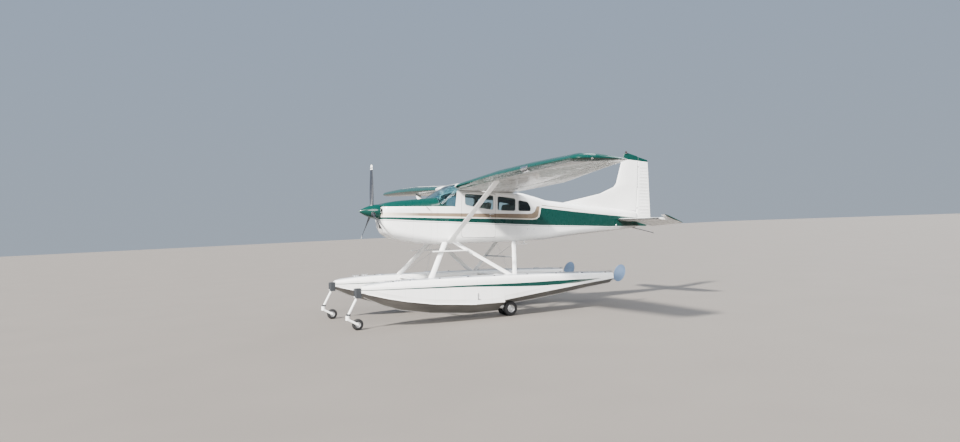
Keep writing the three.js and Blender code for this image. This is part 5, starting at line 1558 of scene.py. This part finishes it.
# %% Door handles
LEVER = [(0.004, 2.905, -0.01), (0.016, 2.912, -0.01), (0.018, 2.94, -0.012),
         (0.016, 2.985, -0.016)]
LEVER_RADII = [0.0065] * 10 + [0.006] * 5 + [0.004]
HANDLE_PLATE = [(0, -0.004), (0.02, -0.004), (0.02, 0.003), (0.016, 0.0045), (0, 0.0045)]
LOCK = [(0, -0.003), (0.011, -0.003), (0.011, 0.003), (0, 0.004)]
for side, sign in SIDES.items():
    x, outward = sign * 0.56, AIR.to_3x3() @ Vector((sign, 0, 0))
    lever = curved([air(x + sign * dx, y, z) for dx, y, z in LEVER], 5)
    parts = [tube(lever, LEVER_RADII), spun(HANDLE_PLATE, air(x, 2.905, -0.01), outward, 28),
             spun(LOCK, air(x, 2.905, -0.075), outward, 24)]
    gathered(f"door_handle_{side}", parts, HUB_METAL, 40, body=f"door_{side}")
print("door handles made")

# %% [markdown]
# The cabin has four seats. A cushion is foam in a sewn cover, so each one starts as a rounded
# block, a little small, and is blown up as a cloth bag in Blender's cloth solver. Every point is
# held to a short move, so that the pad crowns in the middle while its edges stay drawn in. The
# sewn channels are pressed in afterwards, and a cord of piping runs round the edge.

# %% Seat cloth
def seat_cloth():
    g = Graph("seat_cloth", AIR)
    warp = g.math("SINE", g.mul(g.x, 1500.0))
    weft = g.math("SINE", g.mul(g.add(g.y, g.mul(g.z, 0.8)), 1500.0))
    weave = g.mul(warp, weft)
    g.bump(weave, 0.0004, 0.5)
    shade = g.spread(g.noise(9.0, detail=5.0), 0.86, 1.08)
    thread = g.path(weave, [(-1.0, 0.88), (1.0, 1.06)])
    tone = g.scaled((0.3, 0.275, 0.235, 1), g.mul(shade, thread))
    return g.finish(tone, 0.88, Sheen_Weight=0.3, Sheen_Roughness=0.5)


SEAT_CLOTH = seat_cloth()
PIPING = matte("seat_piping", (0.1, 0.09, 0.08, 1), 0.6, 400.0)
CARPET = matte("cabin_carpet", (0.055, 0.052, 0.05, 1), 0.95, 900.0, 0.002, 0.2)

# %% A stuffed pad
SWELL = 0.018
CLOTH_FRAMES = 20


def stuffed(size):
    """A pad of about this size, middle at the origin, swollen by the cloth solver."""
    high = [extent / 2 - SWELL * 0.5 for extent in size]
    low = [-reach for reach in high]
    pad = new_object("pad", block(Matrix.Identity(4), low, high, 0.032, 4))
    remesh = pad.modifiers.new("remesh", "REMESH")
    remesh.mode = "VOXEL"
    remesh.voxel_size = 0.009
    mesh = evaluated(pad)
    pad.modifiers.clear()
    pad.data = mesh
    scene = bpy.context.scene
    cloth = pad.modifiers.new("cloth", "CLOTH")
    cloth.settings.use_pressure = True
    cloth.settings.uniform_pressure_force = 4.0
    cloth.settings.effector_weights.gravity = 0.0
    cloth.point_cache.frame_start = 1
    cloth.point_cache.frame_end = CLOTH_FRAMES
    for number in range(1, CLOTH_FRAMES + 1):
        scene.frame_set(number)
    swollen = pad.evaluated_get(bpy.context.evaluated_depsgraph_get()).data
    moves = [blown.co - vert.co for vert, blown in zip(mesh.vertices, swollen.vertices)]
    pad.modifiers.clear()
    scene.frame_set(1)
    for vert, move in zip(mesh.vertices, moves):
        vert.co += move * min(1.0, SWELL / max(move.length, 1e-6))
    bpy.data.objects.remove(pad)
    return mesh


def upholster(mesh, size, channels, thin, face):
    """Channels sewn across a pad's face, and a flat back where it rests on its pan.
    `thin` is the axis of the pad's thickness, and `face` is 1 or -1 along it."""
    rest = -face * (size[thin] / 2 - 0.002)
    for vert in mesh.vertices:
        level = vert.co[thin] * face
        if level < rest * face:
            vert.co[thin] = rest
        if level > 0:
            press = sum(math.exp(-((vert.co.x - place) / 0.007) ** 2) for place in channels)
            vert.co[thin] -= face * 0.009 * min(press, 1.0) * min(1.0, level / (size[thin] * 0.3))
    return mesh


def piping(mesh, size, thin, face):
    """A cord laid on the pad round the edge of its face."""
    skin = BVHTree.FromPolygons([vert.co for vert in mesh.vertices],
                                [list(polygon.vertices) for polygon in mesh.polygons])
    wide, deep = [axis for axis in range(3) if axis != thin]
    a, b = size[wide] / 2, size[deep] / 2
    outline = rounded([(a, b), (-a, b), (-a, -b), (a, -b)], 0.045, 6)
    loop = []
    for p, q in outline + outline[:1]:
        point = Vector((0, 0, 0))
        point[wide], point[deep], point[thin] = p, q, face * size[thin] * 0.4
        loop.append(skin.find_nearest(point)[0])
    return tube(loop, 0.0042, 8)


def cushion(name, size, placed, channels, thin, face, node=None):
    mesh = upholster(stuffed(size), size, channels, thin, face)
    cord = piping(mesh, size, thin, face)
    mesh.transform(placed)
    cord.transform(placed)
    for polygon in mesh.polygons:
        polygon.use_smooth = True
    pad = new_piece(name, mesh, "airframe", SEAT_CLOTH)
    fine = pad.modifiers.new("fine", "SUBSURF")
    fine.levels = 1
    fine.render_levels = 1
    if node:
        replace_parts(pad, node)
    gathered(name + "_piping", [cord], PIPING, 60)


# %% Seats on their pans and rails
LEAN = Matrix.Rotation(math.radians(-13.4), 4, "X")
CHANNELS_SINGLE = (-0.11, 0.0, 0.11)
CHANNELS_BENCH = (-0.325, -0.215, -0.105, 0.0, 0.105, 0.215, 0.325)
SEATS = [   # node, middle x, front y, width, places of the sewn channels, height of the floor
    ("seat_front_port", 0.255, 2.38, 0.43, CHANNELS_SINGLE, -0.628),
    ("seat_front_starboard", -0.255, 2.38, 0.43, CHANNELS_SINGLE, -0.628),
    ("seat_rear_bench", 0.0, 3.13, 0.86, CHANNELS_BENCH, -0.592),
]
PAN_FOOT = -0.388
for node, x, y, width, channels, floor_level in SEATS:
    at = AIR @ Matrix.Translation((x, y, 0))
    cushion(f"{node}_base", (width, 0.47, 0.135), at @ Matrix.Translation((0, 0.235, -0.312)),
            channels, 2, 1, node)
    cushion(f"{node}_back", (width, 0.105, 0.56),
            at @ Matrix.Translation((0, 0.52, 0.01)) @ LEAN, channels, 1, -1)
    half = width / 2 - 0.025
    parts = [block(AIR, (x - half, y + 0.02, -0.396), (x + half, y + 0.47, -0.38), 0.005)]
    for s in (1, -1):
        rail = x + s * (half - 0.03)
        for top, foot in ((0.06, 0.02), (0.42, 0.47)):
            leg = [air(rail, y + top, PAN_FOOT), air(rail, y + foot, floor_level)]
            parts.append(tube(leg, 0.011, 12))
        brace = [air(rail, y + back, z)
                 for back, z in ((0.44, PAN_FOOT), (0.49, -0.3), (0.55, -0.1))]
        parts.append(tube(curved(brace, 5), 0.011, 12))
        parts.append(block(AIR, (rail - 0.015, y - 0.02, floor_level - 0.006),
                           (rail + 0.015, y + 0.51, floor_level + 0.004), 0.002))
    gathered(f"{node}_frame", parts, STEEL, 40)
print("seats made and swollen")

# %% [markdown]
# Through the windows one sees the floor, the shelf over the instruments, the dials and the two
# control wheels. They are small, so each is a few turned rings, bars and bent tubes.

# %% Floor, dials and control wheels
FLOOR = [(1.53, -0.652), (3.04, -0.606), (3.95, -0.563), (3.95, -0.553), (3.04, -0.596),
         (1.53, -0.642)]
SHELF = [(1.64, 0.232), (1.8, 0.222), (1.83, 0.205), (1.83, 0.193), (1.8, 0.202),
         (1.64, 0.212)]
PANEL_FACE = 1.79
DIALS = [(0.1 + 0.098 * column, 0.105 - 0.098 * row, 0.04)
         for column in range(4) for row in range(2)]
DIALS += [(-0.16 - 0.075 * column, 0.115 - 0.075 * row, 0.028)
          for column in range(3) for row in range(3)]
BOW = [(-0.135, 0.105), (-0.16, 0.05), (-0.15, -0.01), (-0.08, -0.045), (0.0, -0.05),
       (0.08, -0.045), (0.15, -0.01), (0.16, 0.05), (0.135, 0.105)]
WHEEL_HUB = [(0, -0.015), (0.034, -0.012), (0.038, 0.0), (0.03, 0.014), (0, 0.018)]
gathered("cabin_floor", [side_prism("floor", FLOOR, -0.385, 0.385)], CARPET)
bezels, faces = [], []
for x, z, radius in DIALS:
    rim, place = radius * 0.86, air(x, PANEL_FACE, z)
    ring = [(rim, 0), (radius, 0), (radius, 0.006), (radius * 0.93, 0.009), (rim, 0.006), (rim, 0)]
    bezels.append(spun(ring, place, AFT, 32))
    faces.append(spun([(0, 0), (rim, 0), (rim, 0.003), (0, 0.003)], place, AFT, 32))
    bezels.append(block(AIR, (x - 0.0015, 1.793, z), (x + 0.0015, 1.7945, z + radius * 0.7),
                        0.0005, 1))
for row in range(4):
    z = 0.12 - 0.055 * row
    bezels.append(block(AIR, (-0.085, 1.788, z - 0.02), (0.045, 1.797, z + 0.02), 0.003))
    for s in (-0.066, 0.026):
        knob = [(0, 0), (0.009, 0), (0.008, 0.014), (0, 0.014)]
        bezels.append(spun(knob, air(s, 1.797, z), AFT, 20))
gathered("dial_bezels", bezels, TRIM_GREY)
gathered("dial_faces", faces, PANEL_BLACK)
gathered("glare_shelf", [side_prism("shelf", SHELF, -0.49, 0.49)], PANEL_BLACK, 50)
wheels = []
for x in (0.27, -0.27):
    wheels.append(tube([air(x, 1.78, -0.03), air(x, 1.985, -0.03)], 0.013, 16))
    bow = curved([air(x + dx, 1.99, -0.03 + dz) for dx, dz in BOW], 5)
    wheels.append(tube(bow, 0.012, 12))
    wheels.append(spun(WHEEL_HUB, air(x, 1.985, -0.045), AFT, 28))
gathered("control_wheels", wheels, PANEL_BLACK, 45)
print("dials:", len(DIALS))

# %% [markdown]
# The windshield is held by a strip along its base and up the door posts. The finned cylinders
# show through the inlets of the cowl.

# %% Windshield strips and the engine behind the inlets
BASE_LINE = [(0.0, 1.626, 0.334), (0.3, 1.626, 0.332), (0.43, 1.645, 0.3),
             (0.51, 1.69, 0.205), (0.54, 1.76, 0.163), (0.552, 2.064, 0.132)]
POST_LINE = [(0.553, 2.064, 0.132), (0.556, 2.078, 0.3), (0.556, 2.094, 0.49)]
PROBE = [(0.5, 1.389, 0.11), (0.532, 1.4, 0.1), (0.538, 1.464, 0.035)]
FINS = 11
base_path = [air(-x, y, z) for x, y, z in reversed(BASE_LINE[1:])]
base_path += [air(x, y, z) for x, y, z in BASE_LINE]
gathered("windshield_base_strip", [tube(curved(base_path, 5), 0.0055)],
         plain_paint("green_strip_paint", GREEN), 50)
posts = [curved([air(sign * x, y, z) for x, y, z in POST_LINE], 5) for sign in (1, -1)]
gathered("windshield_post_strips", [tube(post, 0.008) for post in posts], STRUT_PAINT, 50)
profile = [(0.0, 0.0), (0.052, 0.0)]
for k in range(FINS):
    fin = k * 0.016
    profile += [(0.052, 0.012 + fin), (0.072, 0.013 + fin), (0.072, 0.017 + fin),
                (0.052, 0.018 + fin)]
profile += [(0.052, 0.2), (0.0, 0.2)]
cylinders = [spun(profile, air(s * 0.105, y, -0.01), X * s, 32)
             for s in (1, -1) for y in (0.6, 0.85)]
gathered("engine_cylinders", cylinders, CAST_METAL, 30)
probe = curved([air(*point) for point in PROBE], 5)
gathered("side_probe", [tube(probe, 0.006)], PANEL_BLACK, 50)
print("strips and cylinders made")

# %% [markdown]
# Flaps, ailerons and elevator have pressed beads too. Their lines are drawn chordwise by the
# wing's rule, or along the drooped elevator, and the second tree sweeps a bar along each.

# %% Beads on flaps, ailerons and elevator
SPACING = 0.095
DROOP = math.radians(20)
for side, sign in SIDES.items():
    for part, start, stop in (("flap", 0.7, 2.5), ("aileron", 2.63, 5.1)):
        count = round((stop - start) / SPACING)
        spans = [start + (stop - start) * k / count for k in range(count + 1)]
        lines = [[wing_at(sign * x, share, face) for share in (0.785, 0.82, 0.86, 0.9, 0.94, 0.97)]
                 for x in spans for face in (1, -1)]
        name = f"{part}_{side}"
        bead_lines(f"{part}_beads_{side}", skin_of(name), lines, name, WING_PAINT)
lines = []
for s in (1, -1):
    for x in [s * (0.36 + 0.083 * k) for k in range(13)]:
        for off in (0.03, -0.03):
            lines.append([air(x, 7.205 + back * math.cos(DROOP) + off * math.sin(DROOP),
                              TAILPLANE_Z - back * math.sin(DROOP) + off * math.cos(DROOP))
                          for back in (0.05, 0.12, 0.2, 0.27)])
bead_lines("elevator_beads", skin_of("elevator"), lines, "elevator", TAIL_PAINT, 0.004, 0.0025, 0.06)

# %% Lamps, caps and masts on the wings
LENS = acrylic("lamp_lens", (0.95, 0.96, 0.97), 0.02)
CHROME = metal("lamp_reflector", (0.78, 0.78, 0.78, 1), 0.14)


def nose_patch(x0, x1, out, inner):
    """A closed sheet round the leading edge between two spans."""
    shares = [(share, face) for face, run in ((-1, (0.05, 0.03, 0.014, 0.004)), (1, (0.0, 0.004, 0.012)))
              for share in run]
    rings = []
    for k in range(7):
        x = x0 + (x1 - x0) * k / 6
        ring = [wing_at(x, share, face, out) for share, face in shares]
        ring += [wing_at(x, share, face, inner) for share, face in reversed(shares)]
        rings.append(ring)
    return lofted("patch", rings)


def on_skin(skin, place):
    """The nearest point of a skin, and the way it faces there."""
    return skin.find_nearest(place)[:2]


PLATE = [(0, -0.002), (0.062, -0.002), (0.062, 0.0014), (0.058, 0.0024), (0, 0.0024)]
PLATE_PLACES = ((1.3, 0.55), (2.05, 0.3), (3.35, 0.55), (4.45, 0.55), (4.45, 0.25))
FUEL_CAP = [(0, -0.002), (0.048, -0.002), (0.048, 0.003), (0.04, 0.004), (0.038, 0.01),
            (0.03, 0.013), (0, 0.013)]
TIP_BASE = [(0, -0.006), (0.02, -0.006), (0.02, 0.004), (0.016, 0.006), (0, 0.006)]
TIP_DOME = [(0, 0.004), (0.0155, 0.004), (0.015, 0.012), (0.011, 0.02), (0.005, 0.0245),
            (0, 0.0255)]
LAMP_RING = [(0.03, -0.012), (0.034, -0.012), (0.034, 0.01), (0.03, 0.01), (0.03, -0.012)]
for side, sign in SIDES.items():
    skin = skin_of(f"wing_{side}")
    places = [on_skin(skin, wing_at(sign * x, part, -1)) for x, part in PLATE_PLACES]
    discs = [spun(PLATE, point, facing, 40) for point, facing in places]
    gathered(f"inspection_plates_{side}", discs, WING_PAINT, 30)
    caps = []
    for x in (1.0, 2.0):
        point, facing = on_skin(skin, wing_at(sign * x, 0.3, 1))
        caps.append(spun(FUEL_CAP, point, facing, 40))
        bar, top = facing.cross(X).normalized() * 0.028, point + facing * 0.016
        caps.append(tube([top - bar, top + bar], 0.005))
    gathered(f"fuel_caps_{side}", caps, HUB_METAL, 40)
    point, facing = on_skin(skin, air(sign * 5.428, 2.44, 0.742))
    outward = (facing + X * sign * 2).normalized()
    gathered(f"tip_light_base_{side}", [spun(TIP_BASE, point, outward, 28)], CHROME)
    gathered(f"tip_light_{side}", [spun(TIP_DOME, point, outward, 28)], LENS, 60)
gathered("landing_light_back", [nose_patch(3.64, 3.86, 0.0012, -0.002)], CHROME, 40)
rings = [spun(LAMP_RING, wing_at(x, 0.012, -1), -AFT, 32) for x in (3.7, 3.8)]
gathered("landing_lamp_rings", rings, STEEL)
gathered("landing_light_cover", [nose_patch(3.62, 3.88, 0.006, 0.004)], LENS, 40)
top = wing_at(1.9, 0.14, -1)
mast = [top + UP * 0.01, top - UP * 0.08, top - UP * 0.15 - AFT * 0.006]
pitot = curved([mast[-1], mast[-1] - AFT * 0.02 - UP * 0.006, mast[-1] - AFT * 0.15 - UP * 0.006], 5)
gathered("pitot_mast", [tube(mast, (0.013, 0.011, 0.008), 12), tube(pitot, 0.007, 12)], STRUT_PAINT,
         50)
print("wing fittings made")

# %% [markdown]
# Each strut meets its neighbours in a sleeve, a slightly larger streamlined tube. Thin steel
# wires cross between the struts and keep the float rig square.

# %% Sleeves on the struts, and the brace wires
def flat_bar(start, end, width, thickness):
    """A bar of flattened section whose width lies fore and aft."""
    ahead = (end - start).normalized()
    wide = (AFT - ahead * ahead.dot(AFT)).normalized()
    thin = ahead.cross(wide)
    section = circle(wide * width / 2, thin * thickness / 2, 24)
    return lofted("bar", [[point + step for step in section] for point in (start, end)])


def sleeves_on(foot, head, low, high, wide, thick, grow=0.0):
    """Two sleeves: `low` runs up from the foot, `high` down from the head."""
    ahead = (head - foot).normalized()
    return [flat_bar(foot + ahead * low[0], foot + ahead * low[1], wide, thick),
            flat_bar(head - ahead * high[0], head - ahead * high[1], wide + grow, thick + grow)]


FRONT_STRUT, REAR_STRUT = (1.195, 1.88), (3.185, 3.565)   # y of the foot, y at the belly
DIAGONAL = (3.15, 1.976)
SLEEVES = [(FRONT_STRUT, 0.121, 0.059), (DIAGONAL, 0.109, 0.051), (REAR_STRUT, 0.105, 0.053)]
DECK_LEVEL, BRACE_LEVEL = 0.89, 1.305


def strut_ends(sign, places):
    return craft(sign * FLOAT_X, places[0], DECK_LEVEL), air(sign * 0.44, places[1], -0.6)


WIRE = metal("brace_wire", (0.55, 0.56, 0.57, 1), 0.35)
wires = []
for side, sign in SIDES.items():
    sleeves = []
    for places, width, thickness in SLEEVES:
        foot, head = strut_ends(sign, places)
        sleeves += sleeves_on(foot, head, (0.055, 0.17), (0.23, 0.12), width, thickness)
    foot, head = air(sign * 0.5, 1.955, -0.64), air(sign * 2.5, 2.217, 0.66)
    sleeves += sleeves_on(foot, head, (0.075, 0.21), (0.185, 0.08), 0.138, 0.054, 0.004)
    foot, head = strut_ends(sign, REAR_STRUT)
    share = (BRACE_LEVEL - DECK_LEVEL) / ((to_craft @ head).z - DECK_LEVEL)
    middle, ahead = foot.lerp(head, share), (head - foot).normalized() * 0.035
    sleeves.append(flat_bar(middle - ahead, middle + ahead, 0.104, 0.052))
    gathered(f"strut_sleeves_{side}", sleeves, STRUT_PAINT, 40)
    for foot_y, belly_y in (FRONT_STRUT, REAR_STRUT):
        foot = craft(sign * (FLOAT_X - 0.255), foot_y, 0.945)
        head = air(-sign * 0.47, belly_y, -0.652)
        end = (head - foot).normalized() * 0.1
        wires.append(tube([foot, head], 0.0035, 8))
        wires.append(tube([foot, foot + end], 0.0075, 8))
        wires.append(tube([head - end, head], 0.0075, 8))
    cross = [craft(sign * 0.8, 1.26, 0.885), craft(-sign * 0.8, 3.12, 0.885)]
    wires.append(tube(cross, 0.0035, 8))
gathered("brace_wires", wires, WIRE, 50)
print("sleeves and wires made")

# %% [markdown]
# The floats carry cleats, hatches, pump-out caps, rails that throw the spray down, and a keel
# strip that takes the wear. Wires from the water rudders' horns run forward along the deck. They
# cross the rudder's joint.

# %% Fittings on the floats
KEEL_METAL = metal("keel_strip", (0.6, 0.6, 0.6, 1), 0.4)
CLEAT_FOOT = [(0, -0.004), (0.016, -0.004), (0.012, 0.01), (0.009, 0.026), (0, 0.026)]
HORN = [(-0.08, 0.038), (-0.04, 0.03), (0.0, 0.028), (0.04, 0.03), (0.08, 0.038)]
HORN_RADII = [0.0055] + [0.0085] * 15 + [0.0055]
HATCHES = ((0.78, 0.085), (2.0, 0.11), (4.05, 0.095), (4.85, 0.075))   # y and radius
PUMP_CAP = [(0, -0.004), (0.019, -0.004), (0.019, 0.006), (0.014, 0.012), (0, 0.013)]
KEEL_SECTION = [(0.013, 0.012), (-0.013, 0.012), (-0.01, -0.006), (0.01, -0.006)]
LINK_END = [(0, -0.012), (0.024, -0.012), (0.024, 0.012), (0, 0.012)]


def deck_at(y):
    return hull_at(y)[5] + 0.014


def on_float(sign, x, y, z):
    """A point beside the middle of a float; x here runs to port on both floats."""
    return craft(sign * FLOAT_X + x, y, z)


def float_block(x, low, high, bevel):
    """A block on the float ruler whose width and place across are x = (middle, half width)."""
    return block(CRAFT, (x[0] - x[1], *low), (x[0] + x[1], *high), bevel)


def cleats(sign):
    made = []
    for y in (0.24, 0.46, 5.06, 5.42):
        x = sign * (FLOAT_X + hull_at(y)[6] - 0.03)
        level = hull_at(y)[5]
        made += [spun(CLEAT_FOOT, craft(x, y + dy, level), DECK_UP, 16) for dy in (-0.028, 0.028)]
        horn = curved([craft(x, y + dy, level + dz) for dy, dz in HORN], 4)
        made.append(tube(horn, HORN_RADII))
    return made


def hatches(sign):
    rims, lids = [], []
    for y, r in HATCHES:
        place, top = on_float(sign, 0, y, deck_at(y) - 0.001), deck_at(y)
        rim = [(r, -0.004), (r + 0.016, -0.004), (r + 0.015, 0.005), (r + 0.004, 0.008),
               (r, 0.006), (r, -0.004)]
        lid = [(0, -0.004), (r - 0.001, -0.004), (r - 0.001, 0.005), (r * 0.8, 0.006),
               (r * 0.74, 0.003), (0, 0.003)]
        rims.append(spun(rim, place, DECK_UP, 48))
        lids.append(spun(lid, place, DECK_UP, 48))
        lids.append(float_block((sign * FLOAT_X, 0.01), (y - r * 0.68, top),
                                (y + r * 0.68, top + 0.01), 0.003))
    return rims, lids


def pump_caps(sign):
    stations = (0.34, 0.7, 1.34, 1.98, 2.6, 3.4, 4.14, 4.84, 5.5)
    return [spun(PUMP_CAP, craft(sign * (FLOAT_X + hull_at(y)[6] * 0.72), y, deck_at(y) - 0.004),
                 DECK_UP, 20) for y in stations]


def spray_rail(sign, out):
    rings = []
    for k in range(30):
        y = -0.22 + 2.3 * k / 29
        keel, chine, beam = hull_at(y)[:3]
        reach = 0.016 * min(1.0, (k + 1) / 4, (30 - k) / 4)
        section = ((-0.006, 0.006), (reach, -0.004), (reach, -0.01), (-0.012, -0.006))
        rings.append([on_float(sign, out * (beam + dx), y, chine + dz) for dx, dz in section])
    return lofted("rail", rings)


def keel_strip(sign, table, start, stop):
    rings = []
    for k in range(40):
        y = start + (stop - start) * k / 39
        level = level_between(table, y)[0]
        rings.append([on_float(sign, x, y, level + z) for x, z in KEEL_SECTION])
    return lofted("keel", rings)


def gear_links(sign):
    made = [float_block((sign * 1.415, 0.04), (2.585, 0.366), (2.665, 0.415), 0.008)]
    for dx in (0.062, -0.062):
        low = on_float(sign, dx, 2.88, 0.232)
        made.append(tube([on_float(sign, dx, 2.61, 0.3), low], 0.014, 16))
        made.append(spun(LINK_END, low, X, 24))
    return made


for side, sign in SIDES.items():
    rims, lids = hatches(sign)
    mark = (sign * 1.511, 0.01)
    marks = [float_block(mark, (2.104, 0.476), (2.126, 0.614), 0.004),
             float_block(mark, (2.104, 0.476), (2.168, 0.492), 0.004)]
    keels = [keel_strip(sign, HULL_FORE, -0.24, 2.735), keel_strip(sign, HULL_AFT, 2.745, 5.66)]
    bumper = [float_block((sign * FLOAT_X, 0.03), (-0.6, 0.3), (-0.52, 0.338), 0.01)]
    for name, meshes, material, angle in (
            ("cleats", cleats(sign), CAST_METAL, 45), ("hatch_rims", rims, HUB_METAL, 40),
            ("hatches", lids, RUDDER_BLUE, 40), ("pump_caps", pump_caps(sign), RUBBER, 40),
            ("spray_rails", [spray_rail(sign, 1), spray_rail(sign, -1)], STRUT_PAINT, 40),
            ("keel_strip", keels, KEEL_METAL, 40), ("side_fitting", marks, CAST_METAL, 35),
            ("gear_links", gear_links(sign), STRUT_PAINT, 40),
            ("nose_bumper", bumper, BUMPER_RUBBER, 35)):
        gathered(f"{name}_{side}", meshes, material, angle)
print("float fittings made")

# %% Steering and lifting wires of the water rudders
WIRE_OUT = {"outer": 0.088, "inner": -0.088}
GUIDE_Y, LAST_GUIDE_Y, HORN_Y = 4.4, 5.3, 5.716
PULLEY = [(0, -0.008), (0.02, -0.008), (0.02, -0.004), (0.015, 0.0), (0.02, 0.004),
          (0.02, 0.008), (0, 0.008)]
for side, sign in SIDES.items():
    guides = []
    for which, dx in WIRE_OUT.items():
        x = sign * FLOAT_X + dx
        horn = craft(x, HORN_Y, 0.888)
        place = craft(x, GUIDE_Y, deck_at(GUIDE_Y) + 0.008)
        path = [craft(x - math.copysign(0.02, dx), 3.3, deck_at(3.3) + 0.02), place,
                craft(x, LAST_GUIDE_Y, deck_at(LAST_GUIDE_Y) + 0.012), horn]
        wire = tube(curved(path, 10), 0.0028, 8)
        wire.materials.append(WIRE)
        settle(wire, 60)
        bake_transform(new_object(f"steering_wire_{side}_{which}", wire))
        guides.append(spun(PULLEY, place, X, 24))
        guides.append(float_block((x, 0.012), (4.37, deck_at(GUIDE_Y) - 0.015),
                                  (4.43, deck_at(GUIDE_Y) + 0.002), 0.003))
    gathered(f"wire_guides_{side}", guides, CAST_METAL, 40)
print("water rudder wires made")

# %% [markdown]
# The last small things: the beacon on the fin, static ports, lamps on the tail, the step under
# the belly, and the bolts of the wheels.

# %% Fuselage and tail fittings
BEACON_LENS = acrylic("beacon_lens", (0.16, 0.02, 0.02), 0.04)
BEACON_BASE = [(0, -0.02), (0.036, -0.02), (0.036, 0.01), (0.03, 0.014), (0, 0.014)]
BEACON_DOME = [(0, 0.012), (0.027, 0.012), (0.026, 0.034), (0.018, 0.048), (0, 0.052)]
TAIL_LAMP = [(0, -0.002), (0.02, -0.002), (0.02, 0.004), (0.012, 0.008), (0, 0.009)]
BOLT = [(0, 0), (0.0065, 0), (0.0065, 0.006), (0, 0.006)]
STATIC_PORTS = ((3.897, -0.336, 0.01), (3.95, -0.336, 0.006), (4.082, -0.334, 0.01))
place = air(0, 7.03, 1.672)
gathered("beacon_base", [spun(BEACON_BASE, place, UP, 32)], PANEL_BLACK)
gathered("beacon_lens", [spun(BEACON_DOME, place, UP, 32)], BEACON_LENS, 50)
ports, lights = [], []
for sign in (1, -1):
    for y, z, radius in STATIC_PORTS:
        port = [(0, -0.002), (radius, -0.002), (radius, 0.002), (0, 0.0025)]
        ports.append(spun(port, *on_skin(cabin_skin, air(sign * 0.5, y, z)), 20))
    lamp_place = air(sign * 0.18, 6.604, -0.193)
    lights.append(spun(TAIL_LAMP, *on_skin(tail_skin, lamp_place), 28))
gathered("static_ports", ports, PANEL_BLACK)
gathered("tail_side_lamps", lights, STRUT_PAINT)
step = [block(AIR, (0.3, 3.64, -0.69), (0.44, 3.92, -0.676), 0.005)]
for y in (3.7, 3.86):
    step.append(block(AIR, (0.355, y - 0.01, -0.68), (0.385, y + 0.01, -0.59), 0.004))
gathered("belly_step", step, STRUT_PAINT)
for side in SIDES:
    low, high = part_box(f"main_wheels_{side}")
    centre = (low + high) / 2
    bolts = []
    for out in (1, -1):
        for y, z in round_outline(0.05, 6):
            bolts.append(spun(BOLT, centre + Vector((out * 0.166, y, z)), X * out, 6))
    gathered(f"wheel_bolts_{side}", bolts, STEEL, 30, body=f"main_wheels_{side}")
